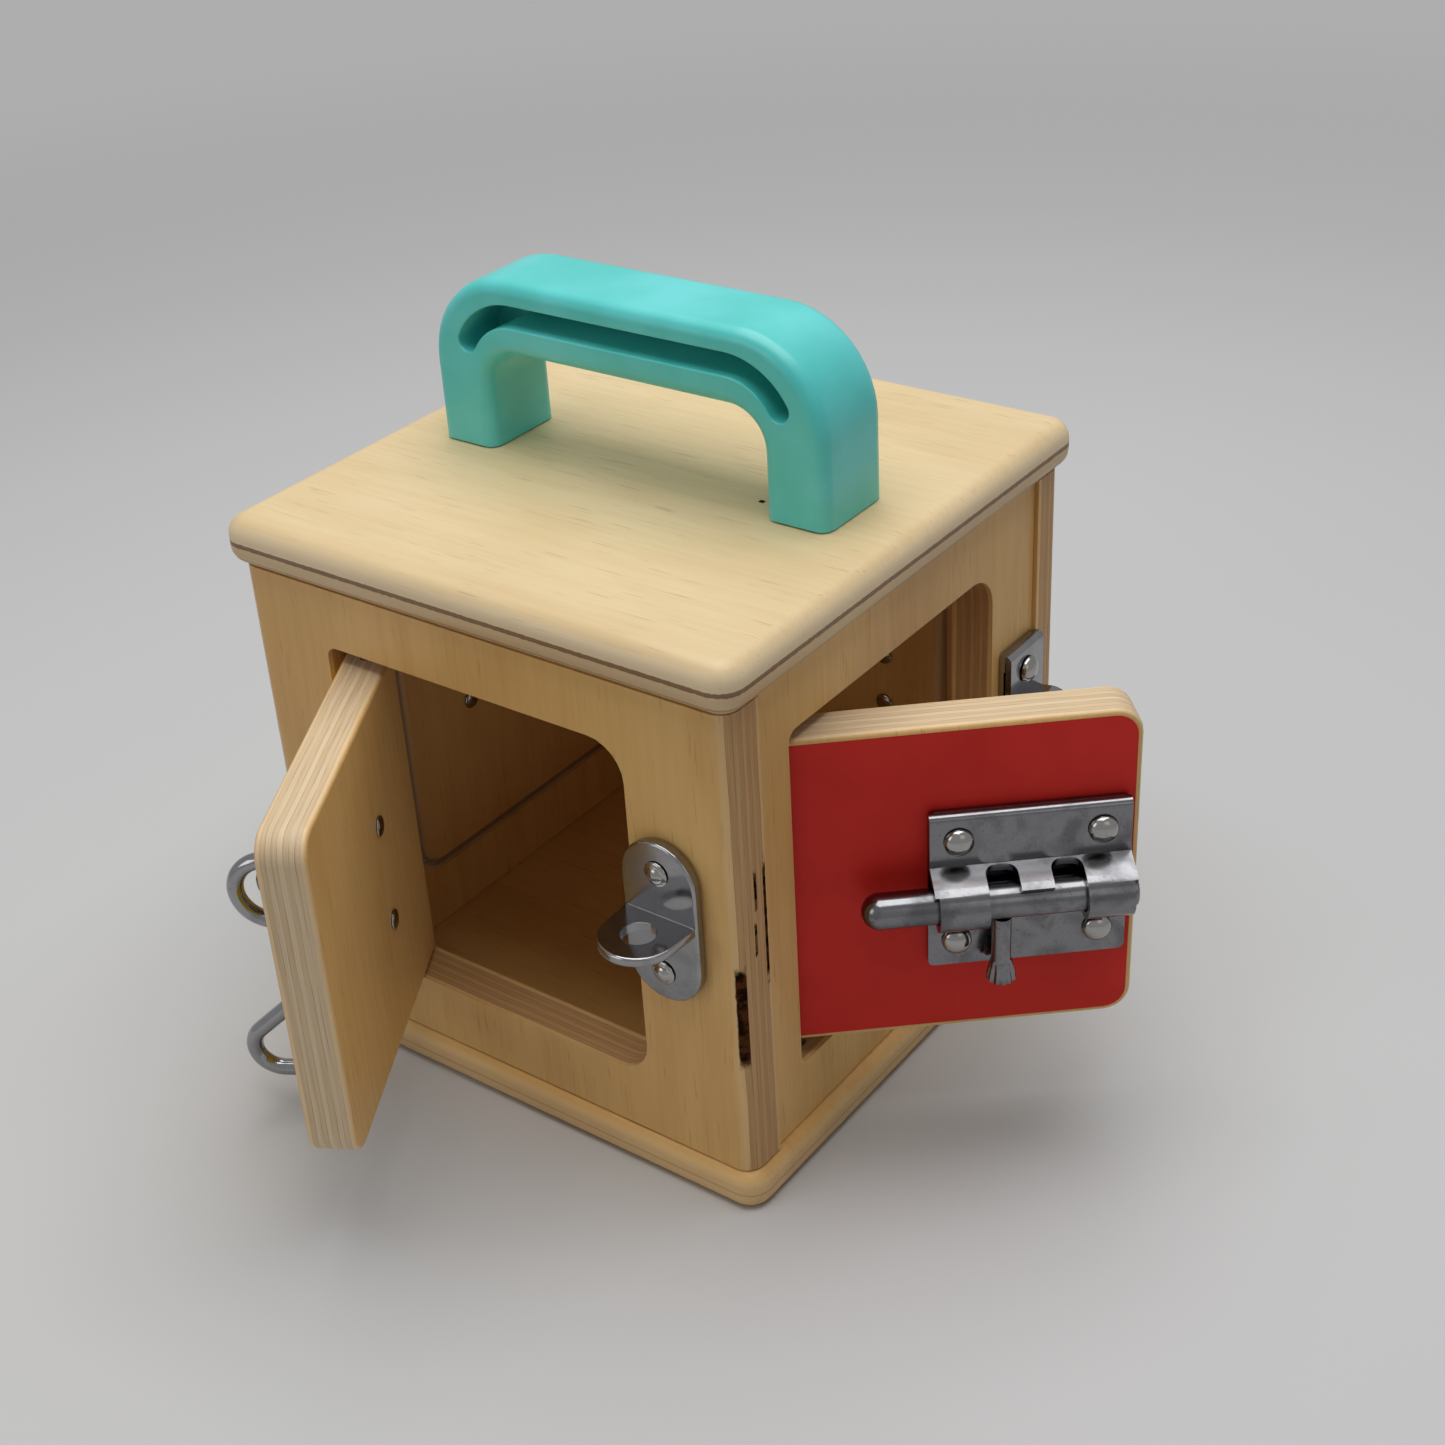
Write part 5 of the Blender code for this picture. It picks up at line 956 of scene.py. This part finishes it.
def latch_fasteners(metal):
    """Every screw and rivet of the four latches."""
    front_wall, right_wall, back_wall, left_wall = (
        WALLS[side] for side in ("front", "right", "back", "left"))
    front_door, right_door, back_door, left_door = (
        DOORS[side] for side in ("front", "right", "back", "left"))
    fasteners("catch_rivets", front_wall, CATCH_SPOTS, FRONT_FACE + BRACKET_SEAT, STEPPED_RIVET,
              "body", metal, ["catch_bracket_rivet_lower", "catch_bracket_rivet_upper"])
    fasteners("hook_rivets", front_door, HOOK_BRACKET_SPOTS,
              DOOR_FACE + BRACKET_SEAT, STEPPED_RIVET, "front_door", metal,
              ["hook_bracket_rivet_lower", "hook_bracket_rivet_upper"])
    fasteners("bolt_screws_low", right_door, [(column, BOLT_ROW_LOW) for column in BOLT_COLUMNS],
              DOOR_FACE + PLATE_SEAT, DOMED_SCREW, "right_door", metal,
              ["bolt_screw_lower_1", "bolt_screw_lower_2"])
    fasteners("bolt_screws_high", right_door, [(column, BOLT_ROW_HIGH) for column in BOLT_COLUMNS],
              DOOR_FACE + FOLDED_SEAT, DOMED_SCREW, "right_door", metal,
              ["bolt_screw_upper_1", "bolt_screw_upper_2"])
    fasteners("keeper_screw_low", right_wall, ((KEEPER_COLUMN, BOLT_ROW_LOW),),
              SIDE_FACE + PLATE_SEAT, DOMED_SCREW, "body", metal, ["keeper_screw_lower_1"])
    fasteners("keeper_screw_high", right_wall, ((KEEPER_COLUMN, BOLT_ROW_HIGH),),
              SIDE_FACE + FOLDED_SEAT, DOMED_SCREW, "body", metal, ["keeper_screw_upper_1"])
    fasteners("hasp_rivets", back_door, HASP_SPOTS, DOOR_FACE + HASP_SEAT, HASP_RIVET,
              "back_door", metal, ["hasp_rivet_1", "hasp_rivet_2"])
    fasteners("staple_screws", back_wall, STAPLE_SPOTS, FRONT_FACE + PLATE_SEAT, SMALL_SCREW,
              "body", metal, ["staple_screw_1", "staple_screw_2"])
    fasteners("bar_keeper_screws", left_wall, BAR_KEEPER_SPOTS, SIDE_FACE + PLATE_SEAT,
              SMALL_SCREW, "body", metal, ["bar_keeper_screw_1", "bar_keeper_screw_2"])
    fasteners("bar_pivot_finished", left_door, (BAR_PIVOT_SPOT,), DOOR_FACE + PIVOT_SEAT,
              PIVOT_PIN, "left_door", metal, ["bar_pivot"])


def dress_hidden_steel(steel):
    """Hinge pins, the hasp's pin and the handle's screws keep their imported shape."""
    for node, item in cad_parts.items():
        if "hinge_pin" in node or node.startswith("handle_screw") or node == "hasp_pin":
            item.data.materials.clear()
            item.data.materials.append(steel)


def dress_metal():
    # lighter than the bolt's chrome as painted reflection of golden wood
    metal = plated("chrome_plate_bright_reflection")
    bright = plated("chrome_heads", HEAD_CHROME, CHROME_DULL, 0.14, 0.35)
    # the bolt's plating, worn and darkened as painted dark reflection
    worn = plated("chrome_worn_dark_reflection", BOLT_CHROME_DARK_REFLECTION, BOLT_DULL_DARK_REFLECTION, 0.15, 0.7)
    steel = plated("plain_steel", STEEL, STEEL_DULL, 0.28, 0.9)
    for node, body, width in EASED_METAL:
        refined(node, body, worn if node == "bolt_plate" else metal, width)
    bolt_pieces(worn)
    hook_pieces(metal)
    latch_fasteners(bright)
    dress_hidden_steel(steel)


# Floor, light and camera

FLOOR_REACH = 6.0
FLOOR_FADE = (0.35, 1.1)
LIGHTS_AIM = Vector((0, 0, 0.08))
SKY_RISE = (-0.1, 0.9)
SKY_STRENGTH = 0.33

# Lamps: place, width and depth, watts
LAMPS = {
    "overhead": ((0, 0.08, 1.05), (1.0, 1.1), 10.3),
    "front_fill": ((-0.45, -1.15, 0.55), (0.6, 0.6), 1.7),
    "side_fill": ((1.0, -0.45, 0.6), (0.5, 0.5), 0.3),
}

CAMERA_TURN = math.radians(38.88)
CAMERA_RISE = math.radians(31.0)
CAMERA_ROLL = math.radians(-4.21)
CAMERA_AIM = Vector((0, 0, 0.0739))
CAMERA_DISTANCE = 0.5658
CAMERA_SHIFT = (0.0337, 0.0029)
SENSOR_WIDTH = 36
FOCAL_LENGTH = 54.33
NEAREST_SEEN = 0.01


def seen_directly(tree):
    """1 for the rays that show the backdrop itself: camera, glossy and transmission rays."""
    path = add(tree, "ShaderNodeLightPath").outputs
    reflected = maths(tree, "MAXIMUM", path["Is Glossy Ray"], path["Is Transmission Ray"])
    return maths(tree, "MAXIMUM", path["Is Camera Ray"], reflected)


def build_stage():
    """A wide pale floor that fades into the backdrop's grey away from the box."""
    floor = bpy.data.meshes.new("floor")
    corners = [(x * FLOOR_REACH, y * FLOOR_REACH, 0)
               for x, y in ((-1, -1), (1, -1), (1, 1), (-1, 1))]
    floor.from_pydata(corners, [], [(0, 1, 2, 3)])
    made, tree, shader = new_material("pale_floor", FLOOR_GREY, Roughness=0.85,
                                      Specular_IOR_Level=0.2)
    shader.inputs["Base Color"].default_value = FLOOR_GREY
    spot = add(tree, "ShaderNodeTexCoord").outputs["Object"]
    away = add(tree, "ShaderNodeVectorMath", {0: spot}, operation="LENGTH").outputs["Value"]
    fade = maths(tree, "MULTIPLY", ramp(tree, away, *FLOOR_FADE), seen_directly(tree))
    glow = add(tree, "ShaderNodeEmission", {"Color": BACKDROP_GREY, "Strength": 1.0})
    blend = add(tree, "ShaderNodeMixShader", {0: fade})
    tree.links.new(shader.outputs[0], blend.inputs[1])
    tree.links.new(glow.outputs[0], blend.inputs[2])
    tree.links.new(blend.outputs[0], tree.nodes["Material Output"].inputs["Surface"])
    floor.materials.append(made)
    item = bpy.data.objects.new("floor", floor)
    bpy.context.scene.collection.objects.link(item)


def soft_light(name, place, size, watts):
    """A white rectangular lamp, aimed at the middle of the box."""
    lamp = bpy.data.lights.new(name, "AREA")
    lamp.shape = "RECTANGLE"
    lamp.size, lamp.size_y = size
    lamp.energy = watts
    item = bpy.data.objects.new(name, lamp)
    item.location = place
    item.rotation_euler = (LIGHTS_AIM - Vector(place)).to_track_quat("-Z", "Y").to_euler()
    bpy.context.scene.collection.objects.link(item)


def build_light():
    """The lamps, and a dim world that shows as the plain backdrop."""
    for name, (place, size, watts) in LAMPS.items():
        soft_light(name, place, size, watts)
    world = bpy.data.worlds.new("studio")
    bpy.context.scene.world = world
    world.use_nodes = True
    tree = world.node_tree
    up = add(tree, "ShaderNodeSeparateXYZ",
             {0: add(tree, "ShaderNodeTexCoord").outputs["Generated"]}).outputs[2]
    tint = mixed(tree, ramp(tree, up, *SKY_RISE), SKY_LOW, SKY_HIGH)
    shade = tree.nodes["Background"]
    tree.links.new(tint, shade.inputs[0])
    shade.inputs[1].default_value = SKY_STRENGTH
    backdrop = add(tree, "ShaderNodeBackground", {"Color": BACKDROP_GREY, "Strength": 1.0})
    blend = add(tree, "ShaderNodeMixShader", {0: seen_directly(tree)})
    tree.links.new(shade.outputs[0], blend.inputs[1])
    tree.links.new(backdrop.outputs[0], blend.inputs[2])
    tree.links.new(blend.outputs[0], tree.nodes["World Output"].inputs["Surface"])


def build_camera():
    """The photograph's viewpoint, with its slight roll and off-centre framing."""
    level = math.cos(CAMERA_RISE)
    back = Vector((math.sin(CAMERA_TURN) * level, -math.cos(CAMERA_TURN) * level,
                   math.sin(CAMERA_RISE)))
    right = (-back).cross(Vector((0, 0, 1))).normalized()
    up = right.cross(-back)
    rolled_right = math.cos(CAMERA_ROLL) * right + math.sin(CAMERA_ROLL) * up
    rolled_up = -math.sin(CAMERA_ROLL) * right + math.cos(CAMERA_ROLL) * up
    lens = bpy.data.cameras.new("camera")
    lens.sensor_width = SENSOR_WIDTH
    lens.lens = FOCAL_LENGTH
    lens.shift_x, lens.shift_y = CAMERA_SHIFT
    lens.clip_start = NEAREST_SEEN
    item = bpy.data.objects.new("camera", lens)
    axes = Matrix((rolled_right, rolled_up, back)).transposed().to_4x4()
    item.matrix_world = Matrix.Translation(CAMERA_AIM + back * CAMERA_DISTANCE) @ axes
    bpy.context.scene.collection.objects.link(item)
    bpy.context.scene.camera = item


dress_boards()
dress_handle()
dress_metal()
build_stage()
build_light()
build_camera()
bpy.context.scene.view_settings.view_transform = "Standard"
